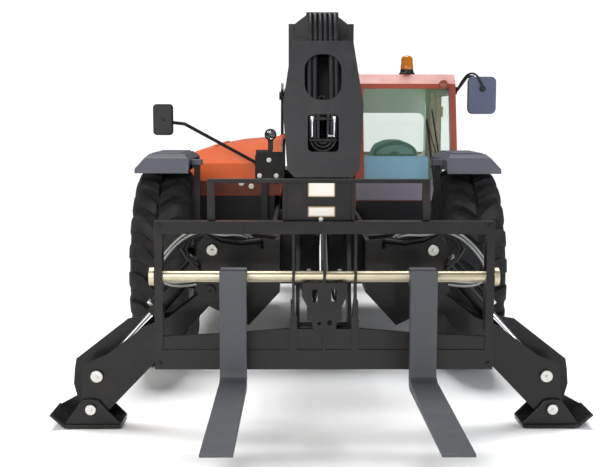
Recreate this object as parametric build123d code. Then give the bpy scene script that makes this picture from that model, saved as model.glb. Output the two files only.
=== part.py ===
from build123d import *
import os
from math import atan2, cos, degrees, hypot, radians, sin, tan

os.makedirs("parts", exist_ok=True)

# Rough-terrain telescopic handler with front stabilisers and a fork carriage.
# Millimetres. +Z up, ground at Z = 0. The machine drives towards -Y; +X is its left side, where the cab is.
# Every station along the machine is measured from the front axle and shifted to the middle at the end.

# ---- overall ------------------------------------------------------------------------------------------
track = 2120.0            # between the tyre centres
wheelbase = 3500.0
tyre_radius = 700.0       # out to the lug tips
tyre_width = 380.0
lug_pairs = 22            # slanted rubber blocks on each half of the tread
lug_height = 42.0
rim_radius = 320.0
axle_z = tyre_radius
fork_face = -2080.0       # front of the fork shanks
rear_end = wheelbase + 1000.0   # back of the counterweight
fit = 0.08                # radial running clearance of a shaft in its bore
gap = 0.3                 # between seated pieces
air = 6.0                 # between pieces that move past each other

# ---- chassis ------------------------------------------------------------------------------------------
frame_half = 300.0        # outside of the side plates
frame_plate = 25.0
frame_low = 560.0
frame_top = 1080.0
frame_nose = -1300.0
nose_low = 790.0
axle_half = 80.0          # half the width of the axle beam
axle_deep = 110.0         # half its height
diff_radius = 165.0
kingpin_x = track / 2 - 210.0
kingpin_radius = 32.0
knuckle_radius = 100.0
knuckle_half = 105.0      # half the height of the knuckle between the yoke's arms
yoke_plate = 35.0
spindle_radius = 60.0
steer_limit = 35.0

tow_radius = 18.0

# ---- boom ---------------------------------------------------------------------------------------------
boom_pivot_y = wheelbase + 240.0
boom_pivot_z = 1990.0
boom_pin_radius = 45.0
boom_axis_z = 2000.0
boom_wall = 10.0
boom_rear = boom_pivot_y + 190.0
boom_front = -1120.0
# section: half width, half height, rear end, front end
SECTIONS = {
    "outer": (180.0, 220.0, boom_rear, boom_front),
    "middle": (150.0, 185.0, boom_rear - 520.0, boom_front - 40.0),
    "inner": (122.0, 152.0, boom_rear - 700.0, boom_front - 80.0),
}
pad_gap = 0.4

# ---- boom head (stations along the machine, heights above ground) ---------------------------------------
head_top_z = 2190.0
head_top_y = -1520.0
head_knee_z = 1440.0
head_knee_y = -1732.0
head_back_y = -1400.0     # back wall of the drop part
head_heel_z = 1650.0      # lower corner behind the tilt cylinder's pin
head_skin = 20.0
head_side = 20.0
# outline of the head's face: height, half width
HEAD_FACE = ((head_top_z, 170.0), (1830.0, 224.0), (1480.0, 197.0), (head_knee_z, 158.0))
tilt_pivot_y = -1800.0
tilt_pivot_z = 620.0
tilt_pin_radius = 30.0
cheek_half = 150.0        # outside of the head's lower cheeks
cheek_plate = 20.0

# ---- carriage -------------------------------------------------------------------------------------------
carriage_half = 892.0
carriage_low = 440.0
carriage_top = 1225.0
carriage_back = -1930.0
carriage_front = -2015.0
top_bar = 65.0
side_plate = 42.0
lower_plate_end = 613.0
lower_plate_mid = 655.0
rib_x = 163.0
rib_plate = 14.0
shaft_y = -1972.0
shaft_z = 930.0
shaft_radius = 29.0
shaft_half = carriage_half + 30.0
backrest_top = 1445.0
backrest_half = 585.0
backrest_x = -30.0        # its middle stands a little to the right of the machine's

# ---- forks ----------------------------------------------------------------------------------------------
FORK_X = {"left": 516.0, "right": -477.0}   # where the forks stand at rest
fork_width = 140.0
fork_thick = 58.0
fork_length = 1220.0
fork_blade_z = 400.0      # top of the blade at the heel
fork_top = 975.0
fork_tip = 14.0

# ---- stabilisers (across the machine, above ground) -----------------------------------------------------
leg_y = -1520.0
leg_half = 85.0           # half the thickness of a leg
leg_plate = 15.0
leg_pivot = (630.0, 800.0)
leg_pin = (1278.0, 302.0)
foot_pin = (1313.0, 114.0)
ram_pin = (617.0, 1028.0)
leg_pin_radius = 30.0
foot_half = 124.0         # half the length of the foot along the machine
foot_low = 8.0

# ---- cab ------------------------------------------------------------------------------------------------
cab_in = 335.0            # side next to the boom
cab_out = 1165.0
cab_front = 1010.0
cab_rear = wheelbase - 940.0
cab_floor = 640.0
cab_roof = 2120.0
cab_wall = 45.0
belt_z = 1290.0           # lower edge of the windows
glass = 6.0
hinge_pin = 6.0
HINGES = (900.0, 1800.0)  # heights of the door hinges

# ---- engine pod and hood --------------------------------------------------------------------------------
pod_in = -315.0           # inner side of the pod under the hood
hood_in = -264.0          # inner side of the hood, over the frame's edge
pod_out = -1080.0
pod_front = 850.0
pod_rear = wheelbase - 840.0
pod_low = 560.0
hood_low = 1150.0
hood_wall = 12.0
hood_axis = (-250.0, 1602.0)     # x, z of the hood's hinge line

origin_y = (rear_end + fork_face - fork_length) / 2


# ---- helpers --------------------------------------------------------------------------------------------
def box(x, y, z):
    """Block between two values along each axis."""
    return Pos((x[0] + x[1]) / 2, (y[0] + y[1]) / 2, (z[0] + z[1]) / 2) * Box(
        abs(x[1] - x[0]), abs(y[1] - y[0]), abs(z[1] - z[0]))


def along_x(points, x0, x1):
    """Outline of (y, z) points drawn out along X."""
    face = Plane(origin=(min(x0, x1), 0, 0), x_dir=(0, 1, 0), z_dir=(1, 0, 0)) * Polygon(*points, align=None)
    return extrude(face, abs(x1 - x0), dir=(1, 0, 0))


def along_y(points, y0, y1):
    """Outline of (x, z) points drawn out along Y."""
    face = Plane(origin=(0, min(y0, y1), 0), x_dir=(1, 0, 0), z_dir=(0, -1, 0)) * Polygon(*points, align=None)
    return extrude(face, abs(y1 - y0), dir=(0, 1, 0))


def rod(p, q, r):
    """Round bar from p to q."""
    p, q = Vector(*p), Vector(*q)
    return Plane(origin=(p + q) / 2, z_dir=(q - p)) * Cylinder(r, (q - p).length)


def pin_x(y, z, r, x0, x1):
    return rod((x0, y, z), (x1, y, z), r)


def pin_y(x, z, r, y0, y1):
    return rod((x, y0, z), (x, y1, z), r)


def fuse(*parts):
    out = parts[0]
    for p in parts[1:]:
        out = out + p
    return out


def both(shape):
    """The shape and its mirror image across the machine's middle."""
    return shape + mirror(shape, Plane.YZ)


def flip(shape, side):
    return shape if side > 0 else mirror(shape, Plane.YZ)


def plated(rings):
    """Solid with flat faces through a row of four-cornered rings."""
    faces = [Face(Wire.make_polygon([Vector(*p) for p in ring])) for ring in (rings[0], rings[-1])]
    for a, b in zip(rings, rings[1:]):
        for i in range(4):
            j = (i + 1) % 4
            faces.append(Face(Wire.make_polygon([Vector(*a[i]), Vector(*a[j]), Vector(*b[j]), Vector(*b[i])])))
    return Solid(Shell(faces))


def hose_run(points, r):
    """Hose along straight runs, rounded at its corners."""
    out = fuse(*[rod(p, q, r) for p, q in zip(points, points[1:])])
    for p in points[1:-1]:
        out += Pos(*p) * Sphere(r)
    return out


def rounded_y(x, z, y, corner):
    """Plate with rounded corners, its thickness along Y."""
    return Pos((x[0] + x[1]) / 2, y[1], (z[0] + z[1]) / 2) * Rot(90, 0, 0) * extrude(
        RectangleRounded(x[1] - x[0], z[1] - z[0], corner), y[1] - y[0])


def save(node, shape):
    solids = [s.moved(Location((0, -origin_y, 0))) for s in shape.solids()]
    export_step(solids[0] if len(solids) == 1 else Compound(solids), f"parts/{node}.step")


# ---- wheels ---------------------------------------------------------------------------------------------
tyre_x = track / 2
bead_half = tyre_width / 2 - 35.0


def wheel(side, y):
    """Tyre and rim, turning about the axle line."""
    centre = Pos(side * tyre_x, y, axle_z) * Rot(0, 90 * side, 0)
    w = tyre_width / 2
    # tyre section: distance from the axle line, distance from the middle
    crown = tyre_radius - lug_height
    section = ((rim_radius + gap, -bead_half), (rim_radius + 60, -w + 8), (tyre_radius - 170, -w),
               (crown - 30, -w + 22), (crown, -w + 62), (crown, w - 62), (crown - 30, w - 22),
               (tyre_radius - 170, w), (rim_radius + 60, w - 8), (rim_radius + gap, bead_half))
    tyre = revolve(Plane.XZ * Polygon(*section, align=None), Axis.Z)
    # one block: out from the middle, advance round the tyre, top and foot radius
    block = ((10, -50, tyre_radius - 7, crown - 14), (96, 38, tyre_radius - 7, crown - 14),
             (150, 50, tyre_radius - 12, crown - 14), (w - 1, 52, tyre_radius - 86, crown - 60))
    blocks = []
    for s in (1, -1):
        rings = [((foot_, a - 46, s * o), (top, a - 46, s * o), (top, a + 46, s * o), (foot_, a + 46, s * o))
                 for o, a, top, foot_ in block]
        blocks.append(Rot(0, 0, 180 / lug_pairs if s > 0 else 0) * plated(rings if s > 0 else rings[::-1]))
    tyre = tyre.fuse(*[Rot(0, 0, 360 / lug_pairs * i) * b for b in blocks for i in range(lug_pairs)])
    if side > 0:
        tyre = mirror(tyre, Plane.XZ)
    well = rim_radius - 22
    drum = Cylinder(rim_radius, 2 * bead_half) - Cylinder(well, 2 * bead_half + 2)
    disc = Pos(0, 0, 40) * Cylinder(well + 1, 22)
    hub = Pos(0, 0, 20) * Cylinder(135, 130) + Pos(0, 0, 95) * Cylinder(90, 50)
    bore = Pos(0, 0, -50) * Cylinder(spindle_radius + fit, 180)
    rim = drum + disc + hub - bore
    return centre * tyre, centre * rim


def knuckle(side, y):
    """Hub carrier between the yoke's arms, with its kingpins, spindle and steering arm."""
    x = kingpin_x
    k = Pos(x, y, axle_z) * Cylinder(knuckle_radius, 2 * knuckle_half)
    reach = knuckle_half + yoke_plate + 14
    k += rod((x, y, axle_z - reach), (x, y, axle_z + reach), kingpin_radius)
    k += pin_x(y, axle_z, 78, x, tyre_x - 50)
    k += pin_x(y, axle_z, spindle_radius, x, tyre_x + 30)
    return flip(k, side)


def axle(y):
    beam = box((-(kingpin_x - knuckle_radius - 30), kingpin_x - knuckle_radius - 30),
               (y - axle_half, y + axle_half), (axle_z - axle_deep, axle_z + axle_deep))
    # differential housing, bellied in the middle
    beam += Pos(0, y, axle_z) * Rot(0, 90, 0) * revolve(Plane.XZ * Polygon(
        (0, -250), (axle_half - 12, -250), (diff_radius, -110), (diff_radius, 110), (axle_half - 12, 250), (0, 250),
        align=None), Axis.Z)
    for sx in (-1, 1):
        end = kingpin_x + 45
        for sz in (-1, 1):
            z0 = axle_z + sz * (knuckle_half + air)
            z1 = z0 + sz * yoke_plate
            arm = box((kingpin_x - knuckle_radius - 60, kingpin_x), (y - axle_half, y + axle_half), (z0, z1))
            arm += Pos(kingpin_x, y, (z0 + z1) / 2) * Cylinder(axle_half, yoke_plate)
            arm -= Pos(kingpin_x, y, (z0 + z1) / 2) * Cylinder(kingpin_radius + fit, 2 * yoke_plate)
            beam += arm if sx > 0 else mirror(arm, Plane.YZ)
        web = box((kingpin_x - knuckle_radius - 60, kingpin_x - knuckle_radius - 20), (y - axle_half, y + axle_half),
                  (axle_z - knuckle_half - air - 1, axle_z + knuckle_half + air + 1))
        beam += web if sx > 0 else mirror(web, Plane.YZ)
    saddle = box((-frame_half, frame_half), (y - 60, y + 60),
                 (axle_z + axle_deep - 1, frame_top - 235 - gap))
    return beam + saddle


guard_in = tyre_x - 195.0
guard_out = tyre_x + 165.0
guard_low = axle_z + tyre_radius - 5
guard_top = guard_low + 122.0
guard_half = 450.0
guard_wall = 12.0
arm_wide = 40.0           # the mudguard's post on the knuckle
arm_ahead = 175.0         # how far it stands ahead of the kingpin
for side, hand in ((1, "left"), (-1, "right")):
    for y, end in ((0.0, "front"), (wheelbase, "rear")):
        tyre, rim = wheel(side, y)
        save(f"tyre_{end}_{hand}", tyre)
        save(f"rim_{end}_{hand}", rim)
        k = knuckle(side, y)
        if end == "front":
            # arm that carries the mudguard, inside the tyre
            arm = box((kingpin_x - arm_wide, kingpin_x), (y - arm_ahead - arm_wide, y - 60), (axle_z - 40, axle_z + 40))
            arm += box((kingpin_x - arm_wide, kingpin_x), (y - arm_ahead - arm_wide, y - arm_ahead),
                       (axle_z - 40, guard_top - 55))
            k += flip(arm, side)
        save(f"knuckle_{end}_{hand}", k)

save("axles", axle(0.0) + axle(wheelbase))

# mudguards: pans that turn with the front wheels, bent down ahead of the tyre and behind it
def guard_pan(t):
    """Solid under the pan's outer face, thinner by t."""
    across = ((guard_in + t, guard_low - 300), (guard_in + t, guard_top - 40 - t / 2), (guard_in + 40, guard_top - t),
              (guard_out - 80, guard_top - t), (guard_out - t, guard_top - 95), (guard_out - t, guard_low - 300))
    around = ((-guard_half + t, guard_low - 300), (-guard_half + t, guard_top - 110), (-guard_half + 60, guard_top - 24 - t),
              (-guard_half + 150, guard_top - t), (guard_half - 150, guard_top - t), (guard_half - 60, guard_top - 24 - t),
              (guard_half - t, guard_top - 110), (guard_half - t, guard_low - 300))
    return along_y(across, -guard_half + t, guard_half - t) & along_x(around, guard_in + t, guard_out - t)


rim_line = along_x(((-guard_half - 1, guard_top - 127), (-guard_half + 90, guard_top - 100), (-230, guard_low + 12),
                    (230, guard_low + 12), (guard_half - 90, guard_top - 100), (guard_half + 1, guard_top - 127),
                    (guard_half + 1, guard_low - 400), (-guard_half - 1, guard_low - 400)), guard_in - 1, guard_out + 1)
for side, hand in ((1, "left"), (-1, "right")):
    cap = guard_pan(0.0) - guard_pan(guard_wall) - rim_line
    # raised inner field
    cap += box((guard_in + 58, guard_out - 100), (-guard_half + 150, guard_half - 150), (guard_top - 2, guard_top + 7))
    # socket on the knuckle's post, reaching out to the pan
    cap += box((kingpin_x - arm_wide - 15, guard_in + 30), (-arm_ahead - arm_wide - 20, -arm_ahead + 20),
               (guard_top - 80, guard_top - 41))
    cap -= box((kingpin_x - arm_wide - 1, kingpin_x + 1), (-arm_ahead - arm_wide - 1, -arm_ahead + 1),
               (guard_low - 50, guard_top - 55 + gap))
    save(f"fender_{hand}", flip(cap, side))

# ---- chassis --------------------------------------------------------------------------------------------
lift_foot = (wheelbase - 400.0, 820.0)       # y, z of the lift cylinder's pin on the chassis
lift_eye = (1350.0, 1675.0)       # y, z of its pin on the boom
lift_pin_radius = 38.0
side_outline = (
    (frame_nose, nose_low), (frame_nose, frame_top), (boom_pivot_y - 560, frame_top),
    (boom_pivot_y - 330, 1500), (boom_pivot_y - 170, boom_pivot_z + 60), (boom_pivot_y - 60, boom_pivot_z + 130),
    (boom_pivot_y + 90, boom_pivot_z + 130), (boom_pivot_y + 190, boom_pivot_z + 30), (boom_pivot_y + 420, 1300),
    (rear_end - 230, 1150), (rear_end - 230, frame_low), (wheelbase + 250, frame_low),
    (wheelbase + 250, frame_top - 235), (wheelbase - 250, frame_top - 235), (wheelbase - 250, frame_low),
    (420, frame_low), (250, frame_top - 235), (-250, frame_top - 235), (-420, nose_low))
side_sheet = along_x(side_outline, frame_half - frame_plate, frame_half)
side_sheet -= pin_x(boom_pivot_y, boom_pivot_z, boom_pin_radius + fit, frame_half - 60, frame_half + 60)
side_sheet -= pin_x(lift_foot[0], lift_foot[1], lift_pin_radius + fit, frame_half - 60, frame_half + 60)
frame = both(side_sheet)
inner_half = frame_half - frame_plate + 1
# cross members: y from, y to, z from, z to
for y0, y1, z0, z1 in ((frame_nose, frame_nose + 30, nose_low, frame_top),
                       (300, 330, frame_low + 250, frame_top), (900, 930, frame_low, 900),
                       (900, wheelbase - 1200, frame_low, frame_low + 15), (wheelbase - 290, wheelbase - 260, frame_low, 790),
                       (rear_end - 260, rear_end - 230, frame_low, 1150)):
    frame += box((-inner_half, inner_half), (y0, y1), (z0, z1))
# outriggers that carry the cab and the pod
for x0, x1 in ((frame_half - 1, cab_out - 260), (pod_out + 220, -frame_half + 1)):
    for y in (cab_front + 140.0, cab_rear - 210.0):
        frame += box((x0, x1), (y, y + 90), (frame_low, (cab_floor if x1 > 0 else pod_low + 60) - gap))
save("chassis_frame", frame)

# stabiliser mounts: pairs of plates bolted to the nose, with a beam behind them
clevis_gap = leg_half + air
clevis_plate = 20.0
mount_face = ((frame_half - 60, nose_low), (frame_half - 60, frame_top), (560, 1115), (650, 1115), (700, 1060),
              (715, 800), (660, 720), (415, 600))
mounts = None
for side in (1, -1):
    pair = None
    for y0 in (leg_y - clevis_gap - clevis_plate, leg_y + clevis_gap):
        sheet = along_y(mount_face, y0, y0 + clevis_plate)
        for (x, z) in (leg_pivot, ram_pin):
            sheet -= pin_y(x, z, leg_pin_radius + fit, y0 - 10, y0 + clevis_plate + 10)
        pair = sheet if pair is None else pair + sheet
    # inner wall that joins the two plates
    pair += box((frame_half - 60, frame_half - 35), (leg_y - clevis_gap - 1, leg_y + clevis_gap + 1), (nose_low, frame_top))
    pair += box((frame_half - 60, 560), (leg_y + clevis_gap + clevis_plate - 1, frame_nose - gap), (nose_low, frame_top))
    # hoses that loop over the pivot, ahead of the plates
    hose_y = leg_y - clevis_gap - clevis_plate - 33
    for d in (0.0, 24.0):
        pair += hose_run([(340, hose_y + 30, 1040 + d), (350, hose_y, 1062 + d), (450, hose_y, 1052 + d),
                          (560, hose_y, 1068 + d), (660, hose_y, 1118 + d), (730, hose_y, 1100 + d),
                          (760 + d, hose_y, 1040), (740 + d / 2, hose_y, 985), (694, hose_y, 950 - d),
                          (690, hose_y + 30, 940 - d)], 9)
    mounts = flip(pair, side) if mounts is None else mounts + flip(pair, side)
save("stabiliser_mounts", mounts)

# counterweight with its tail lamps' recesses
weight_back = rear_end - 90
weight = along_x(((rear_end - 230 + gap, frame_low), (rear_end - 230 + gap, 1180), (weight_back - 90, 1220),
                  (weight_back - 20, 1170), (weight_back, 1000), (weight_back, 640), (weight_back - 50, frame_low)), -700, 700)
# towing clevis
for z0 in (600.0, 690.0):
    weight += box((-70, 70), (weight_back - 60, rear_end - 45), (z0, z0 + 25)) + Pos(0, rear_end - 45, z0 + 12.5) * Cylinder(45, 25)
weight -= Pos(0, rear_end - 45, 660) * Cylinder(tow_radius, 200)
# tail lamp housings and a grille for the radiator's air
for s in (1, -1):
    weight += rounded_y((s * 560 - 95, s * 560 + 95), (1020, 1130), (weight_back - 60, weight_back + 12), 20)
for i in range(7):
    weight += box((-260, 260), (weight_back - 40, weight_back + 8), (780 + 32 * i, 794 + 32 * i))
save("counterweight", weight)

# ---- engine, pod, hood ------------------------------------------------------------------------------------
tub = box((pod_out, pod_in), (pod_front, pod_rear), (pod_low + 60, hood_low - gap))
tub -= box((pod_out + 15, pod_in - 15), (pod_front + 15, pod_rear - 15), (pod_low + 75, hood_low + 1))
# hinge posts for the hood, on the frame's inner face
hinge_x0, hinge_z0 = hood_axis
HOOD_HINGES = (pod_front + 420.0, pod_rear - 330.0)
for y in HOOD_HINGES:
    post_ = box((-frame_half + frame_plate + gap, hinge_x0 + 6), (y - 20, y + 20), (frame_top - 100, frame_top + 20))
    post_ += box((hinge_x0 - 6, hinge_x0 + 6), (y - 20, y + 20), (frame_top - 100, hinge_z0))
    post_ += pin_y(hinge_x0, hinge_z0, 12, y - 20, y + 20) + pin_y(hinge_x0, hinge_z0, hinge_pin, y - 46, y + 46)
    tub += post_
save("engine_pod", tub)
save("engine", box((pod_out + 200, pod_in - 90), (pod_front + 250, pod_front + 1150), (pod_low + 75 + gap, hood_low - 20)))

hood_section = ((pod_out, hood_low), (pod_out, 1390), (pod_out + 60, 1465), (pod_out + 170, 1505),
                (pod_out + 460, 1560), (hood_in, 1590), (hood_in, hood_low))
hood_inner = ((pod_out + hood_wall, hood_low - 1), (pod_out + hood_wall, 1386), (pod_out + 67, 1455),
              (pod_out + 173, 1493), (pod_out + 461, 1548), (hood_in - hood_wall, 1578), (hood_in - hood_wall, hood_low - 1))


def hood_slope(t):
    """What the sloping front cuts off, set back by t."""
    y = pod_front + t / 0.7557
    return along_x(((y - 88, 1300), (y + 260, 1700), (y - 88, 1700)), pod_out - 1, hood_in + 1)


hood = along_y(hood_section, pod_front, pod_rear)
hood -= along_y(hood_inner, pod_front + hood_wall, pod_rear - hood_wall) - hood_slope(hood_wall)
hood -= hood_slope(0.0)
for y in HOOD_HINGES:
    for s in (1, -1):
        ear = box((hood_in - 30, hinge_x0), (y + s * 20.5, y + s * 44), (1584, hinge_z0))
        ear += pin_y(hinge_x0, hinge_z0, 12, y + s * 20.5, y + s * 44)
        hood += ear - pin_y(hinge_x0, hinge_z0, hinge_pin + fit, y - 50, y + 50)
# louvres on the outer side and the rear, and a pressed bead along the top
for i in range(9):
    y = pod_front + 520 + 90 * i
    hood += box((pod_out - 9, pod_out + 2), (y, y + 34), (1190, 1350))
for i in range(6):
    hood += box((pod_out + 150, hood_in - 150), (pod_rear - 2, pod_rear + 9), (1190 + 50 * i, 1212 + 50 * i))
hood += along_y(((pod_out + 250, 1515), (pod_out + 262, 1534), (pod_out + 300, 1541), (pod_out + 310, 1520)),
                pod_front + 280, pod_rear - 40)
save("hood", hood)

# ---- cab ----------------------------------------------------------------------------------------------------
cab_side = ((cab_front, cab_floor), (cab_front, 1180), (cab_front + 230, cab_roof - 80), (cab_front + 330, cab_roof),
            (cab_rear - 90, cab_roof), (cab_rear, cab_roof - 90), (cab_rear, cab_floor))
w = cab_wall
cab_void = ((cab_front + w, cab_floor + w), (cab_front + w, 1175), (cab_front + 230 + w, cab_roof - 80 - w / 2),
            (cab_front + 340, cab_roof - w), (cab_rear - 95, cab_roof - w), (cab_rear - w, cab_roof - 95),
            (cab_rear - w, cab_floor + w))
shell = along_x(cab_side, cab_in, cab_out)
shell -= along_x(cab_void, cab_in + w, cab_out - w)
post = 70.0
slim_post = 48.0          # front pillar on the door's side
# windows: front, rear, next to the boom; the door opening
front_w = along_x(((cab_front - 50, 1200), (cab_front + 150, cab_roof - 120), (cab_front + 420, cab_roof - 120),
                   (cab_front + 200, 1200)), cab_in + post, cab_out - slim_post)
rear_w = box((cab_in + post, cab_out - post), (cab_rear - w - 5, cab_rear + 5), (1430, cab_roof - 190))
side_w = along_x(((cab_front + 90, belt_z), (cab_front + 290, cab_roof - 120), (cab_rear - 130, cab_roof - 120),
                  (cab_rear - 130, belt_z)), cab_in - 5, cab_in + w + 5)
door_edge = ((cab_front + 100, cab_floor + 60), (cab_front + 100, 1190), (cab_front + 315, cab_roof - 100),
             (cab_rear - 420, cab_roof - 100), (cab_rear - 420, cab_floor + 60))
door_hole = along_x(door_edge, cab_out - w - 5, cab_out + 5)
quarter_w = box((cab_out - w - 5, cab_out + 5), (cab_rear - 330, cab_rear - 110), (belt_z, cab_roof - 130))
shell = shell - front_w - rear_w - side_w - door_hole - quarter_w
door_edge_y = cab_rear - 420.0
hinge_x, hinge_y = cab_out + 14, door_edge_y - 3
for z in HINGES:
    shell += box((cab_out - 1, cab_out + 8), (door_edge_y + 4, door_edge_y + 60), (z + 30 + gap, z + 62))
    shell += Pos(hinge_x, hinge_y, z + 46 + gap / 2) * Cylinder(13, 32 - gap)
    shell += box((cab_out + 1, hinge_x), (hinge_y, door_edge_y + 20), (z + 30 + gap, z + 62))
    shell += Pos(hinge_x, hinge_y, z + 10) * Cylinder(hinge_pin, 80)
# wiper ahead of the windscreen, gutter over the door, grab rail
wiper_x = cab_out - 190
shell += rod((wiper_x, cab_front + 10, 1188), (wiper_x, cab_front - 22, 1196), 12)
shell += rod((wiper_x, cab_front - 20, 1196), (wiper_x - 60, cab_front + 92, 1746), 7)
shell += box((cab_out - 2, cab_out + 14), (cab_front + 330, cab_rear - 120), (cab_roof - 62, cab_roof - 46))
save("cab_shell", shell)

panes = along_x(((cab_front + 15, 1200 + gap), (cab_front + 229, cab_roof - 121), (cab_front + 229 + glass, cab_roof - 121),
                 (cab_front + 15 + glass, 1200 + gap)), cab_in + post + gap, cab_out - slim_post - gap)
panes += box((cab_in + post + gap, cab_out - post - gap), (cab_rear - 25, cab_rear - 25 + glass),
             (1430 + gap, cab_roof - 190 - gap))
panes += along_x(((cab_front + 92, belt_z + gap), (cab_front + 291, cab_roof - 120 - gap),
                  (cab_rear - 130 - gap, cab_roof - 120 - gap), (cab_rear - 130 - gap, belt_z + gap)),
                 cab_in + 18, cab_in + 18 + glass)
panes += box((cab_out - 24, cab_out - 24 + glass), (cab_rear - 330 + gap, cab_rear - 110 - gap),
             (belt_z + gap, cab_roof - 130 - gap))
save("cab_glass", panes)

# door: hinged at its rear edge
c = air
door_out = ((cab_front + 100 + c, cab_floor + 60 + c), (cab_front + 100 + c, 1190), (cab_front + 315 + c, cab_roof - 100 - c),
            (cab_rear - 420 - c, cab_roof - 100 - c), (cab_rear - 420 - c, cab_floor + 60 + c))
door = along_x(door_out, cab_out - 40, cab_out)
door_win = ((cab_front + 170, 1215), (cab_front + 355, cab_roof - 160), (cab_rear - 480, cab_roof - 160), (cab_rear - 480, 1215))
door -= along_x(door_win, cab_out - 60, cab_out + 10)
door -= box((cab_out - 41, cab_out - 12), (cab_front + 160, cab_rear - 480), (cab_floor + 120, 1150))
for z in HINGES:
    door += box((cab_out - 1, cab_out + 8), (hinge_y - 60, hinge_y - 5), (z - 30, z + 30))
    door += Pos(hinge_x, hinge_y, z) * Cylinder(13, 60)
    door -= Pos(hinge_x, hinge_y, z) * Cylinder(hinge_pin + fit, 62)
door += rod((cab_out + 22, cab_front + 190, 1010), (cab_out + 22, cab_front + 190, 1150), 9)
for z in (1010, 1150):
    door += rod((cab_out - 2, cab_front + 190, z), (cab_out + 22, cab_front + 190, z), 9)
save("door", door)
door_pane = along_x(((cab_front + 170 + 1, 1215 + gap), (cab_front + 355, cab_roof - 160 - gap), (cab_rear - 480 - gap, cab_roof - 160 - gap),
                     (cab_rear - 480 - gap, 1215 + gap)), cab_out - 24, cab_out - 24 + glass)
save("door_glass", door_pane)

seat_x = (cab_in + cab_out) / 2
seat_y, seat_z = cab_rear - 130.0, cab_floor + 420.0      # back of the backrest, top of the cushion
seat = box((seat_x - 210, seat_x + 210), (seat_y - 600, seat_y - 150), (cab_floor + w + gap, seat_z - 130))
seat += box((seat_x - 240, seat_x + 240), (seat_y - 630, seat_y - 130), (seat_z - 131, seat_z))
seat += along_x(((seat_y - 230, seat_z - 1), (seat_y - 110, seat_z - 1), (seat_y, seat_z + 500),
                 (seat_y - 80, seat_z + 510)), seat_x - 220, seat_x + 220)
save("seat", seat)
dash = along_x(((cab_front + w + gap, cab_floor + w + gap), (cab_front + w + gap, 1150), (cab_front + 150, 1230),
                (cab_front + 260, 1180), (cab_front + 160, cab_floor + w + gap)), cab_in + w + gap, cab_out - w - 60)
wheel_c = (seat_x - 55, cab_front + 490.0, cab_floor + 800.0)
column = rod((wheel_c[0], cab_front + 180, 1080), (wheel_c[0], wheel_c[1] + 2, wheel_c[2]), 30)
ring = Plane(origin=wheel_c, z_dir=(0, 0.62, 0.78)) * Torus(178, 15)
spokes = Plane(origin=wheel_c, z_dir=(0, 0.62, 0.78), x_dir=(1, 0, 0)) * (Box(350, 30, 14) + Cylinder(45, 30))
save("dashboard", dash + column + ring + spokes)

# ---- small pieces on the chassis --------------------------------------------------------------------------
tank = box((frame_half + gap, cab_out - 285), (cab_front + 250, cab_rear - 230), (cab_floor - 175, cab_floor - 15))
save("fuel_tank", tank)
step = box((cab_out - 250, cab_out + 20), (cab_front + 150, cab_rear - 450), (430, 460))
step += box((cab_out - 250, cab_out - 225), (cab_front + 150, cab_rear - 450), (430, cab_floor - gap))
save("cab_step", step)
stack_x, stack_y = pod_out + 250, pod_rear + 70
stack = rod((stack_x, stack_y, 1070), (stack_x, stack_y, 1430), 45)
stack += box((stack_x - 30, stack_x + 30), (pod_rear + gap, stack_y), (hood_low - 75, hood_low - 15))
save("exhaust", stack)
beacon_x, beacon_y = 780.0, 1400.0
corner_y = cab_front + 230
lamps = rod((-345, pod_front - 100, 1630), (-345, pod_front - 40, 1630), 42)
lamps += box((-365, -325), (pod_front - 90, pod_front - 60), (1510 + gap, 1600))
lamps += Pos(beacon_x, beacon_y, cab_roof + 40) * Cylinder(50, 80 - 2 * gap)
lamps += Pos(beacon_x, beacon_y, cab_roof + 78) * revolve(
    Plane.XZ * Polygon((0, 0), (46, 0), (46, 52), (38, 68), (20, 77), (0, 78), align=None), Axis.Z)
lamps += rod((cab_out - 110, corner_y - 70, cab_roof - 85), (cab_out - 110, corner_y - 10, cab_roof - 85), 30)
save("lamps", lamps)
post_y = pod_front - air
mirror_a = rod((-460, pod_front - 60, 1410), (-1000, 640, 1712), 13) + rod((-1000, 640, 1712), (-1100, 600, 1725), 13)
mirror_a += rounded_y((-1230, -1085), (1630, 1860), (570, 620), 26)
mirror_a += box((-460, -330), (pod_front - 90, post_y), (1300, 1510))
mirror_a += box((-420, -370), (pod_front - 60, post_y), (900, 1301))
mirror_a += box((-420, -370), (post_y - 1, pod_front - gap), (900, hood_low - 2 * gap))
mirror_b = box((cab_out + gap, cab_out + 15), (1245, 1290), (1955, 2015))
mirror_b += rod((cab_out + 16, 1262, 1988), (1215, 960, 2090), 13) + rod((1215, 960, 2090), (1270, 955, 2086), 13)
mirror_b += rounded_y((1220, 1440), (1795, 2085), (930, 980), 40)
save("mirrors", mirror_a + mirror_b)

# ---- boom -------------------------------------------------------------------------------------------------
def section(name):
    hw, hh, y1, y0 = SECTIONS[name]
    tube = box((-hw, hw), (y0, y1), (boom_axis_z - hh, boom_axis_z + hh))
    return tube - box((-hw + boom_wall, hw - boom_wall), (y0 - 1, y1 + 1),
                      (boom_axis_z - hh + boom_wall, boom_axis_z + hh - boom_wall))


def pads(outer, inner, y0, y1):
    """Wear pads on the inside of the outer tube, round the inner one."""
    ow, oh = SECTIONS[outer][0] - boom_wall + 1, SECTIONS[outer][1] - boom_wall + 1
    iw, ih = SECTIONS[inner][0] + pad_gap, SECTIONS[inner][1] + pad_gap
    z = boom_axis_z
    out = None
    for s in (1, -1):
        out_s = box((-70, 70), (y0, y1), (z + s * ih, z + s * oh)) + box((s * iw, s * ow), (y0, y1), (z - 80, z + 80))
        out = out_s if out is None else out + out_s
    return out


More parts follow.
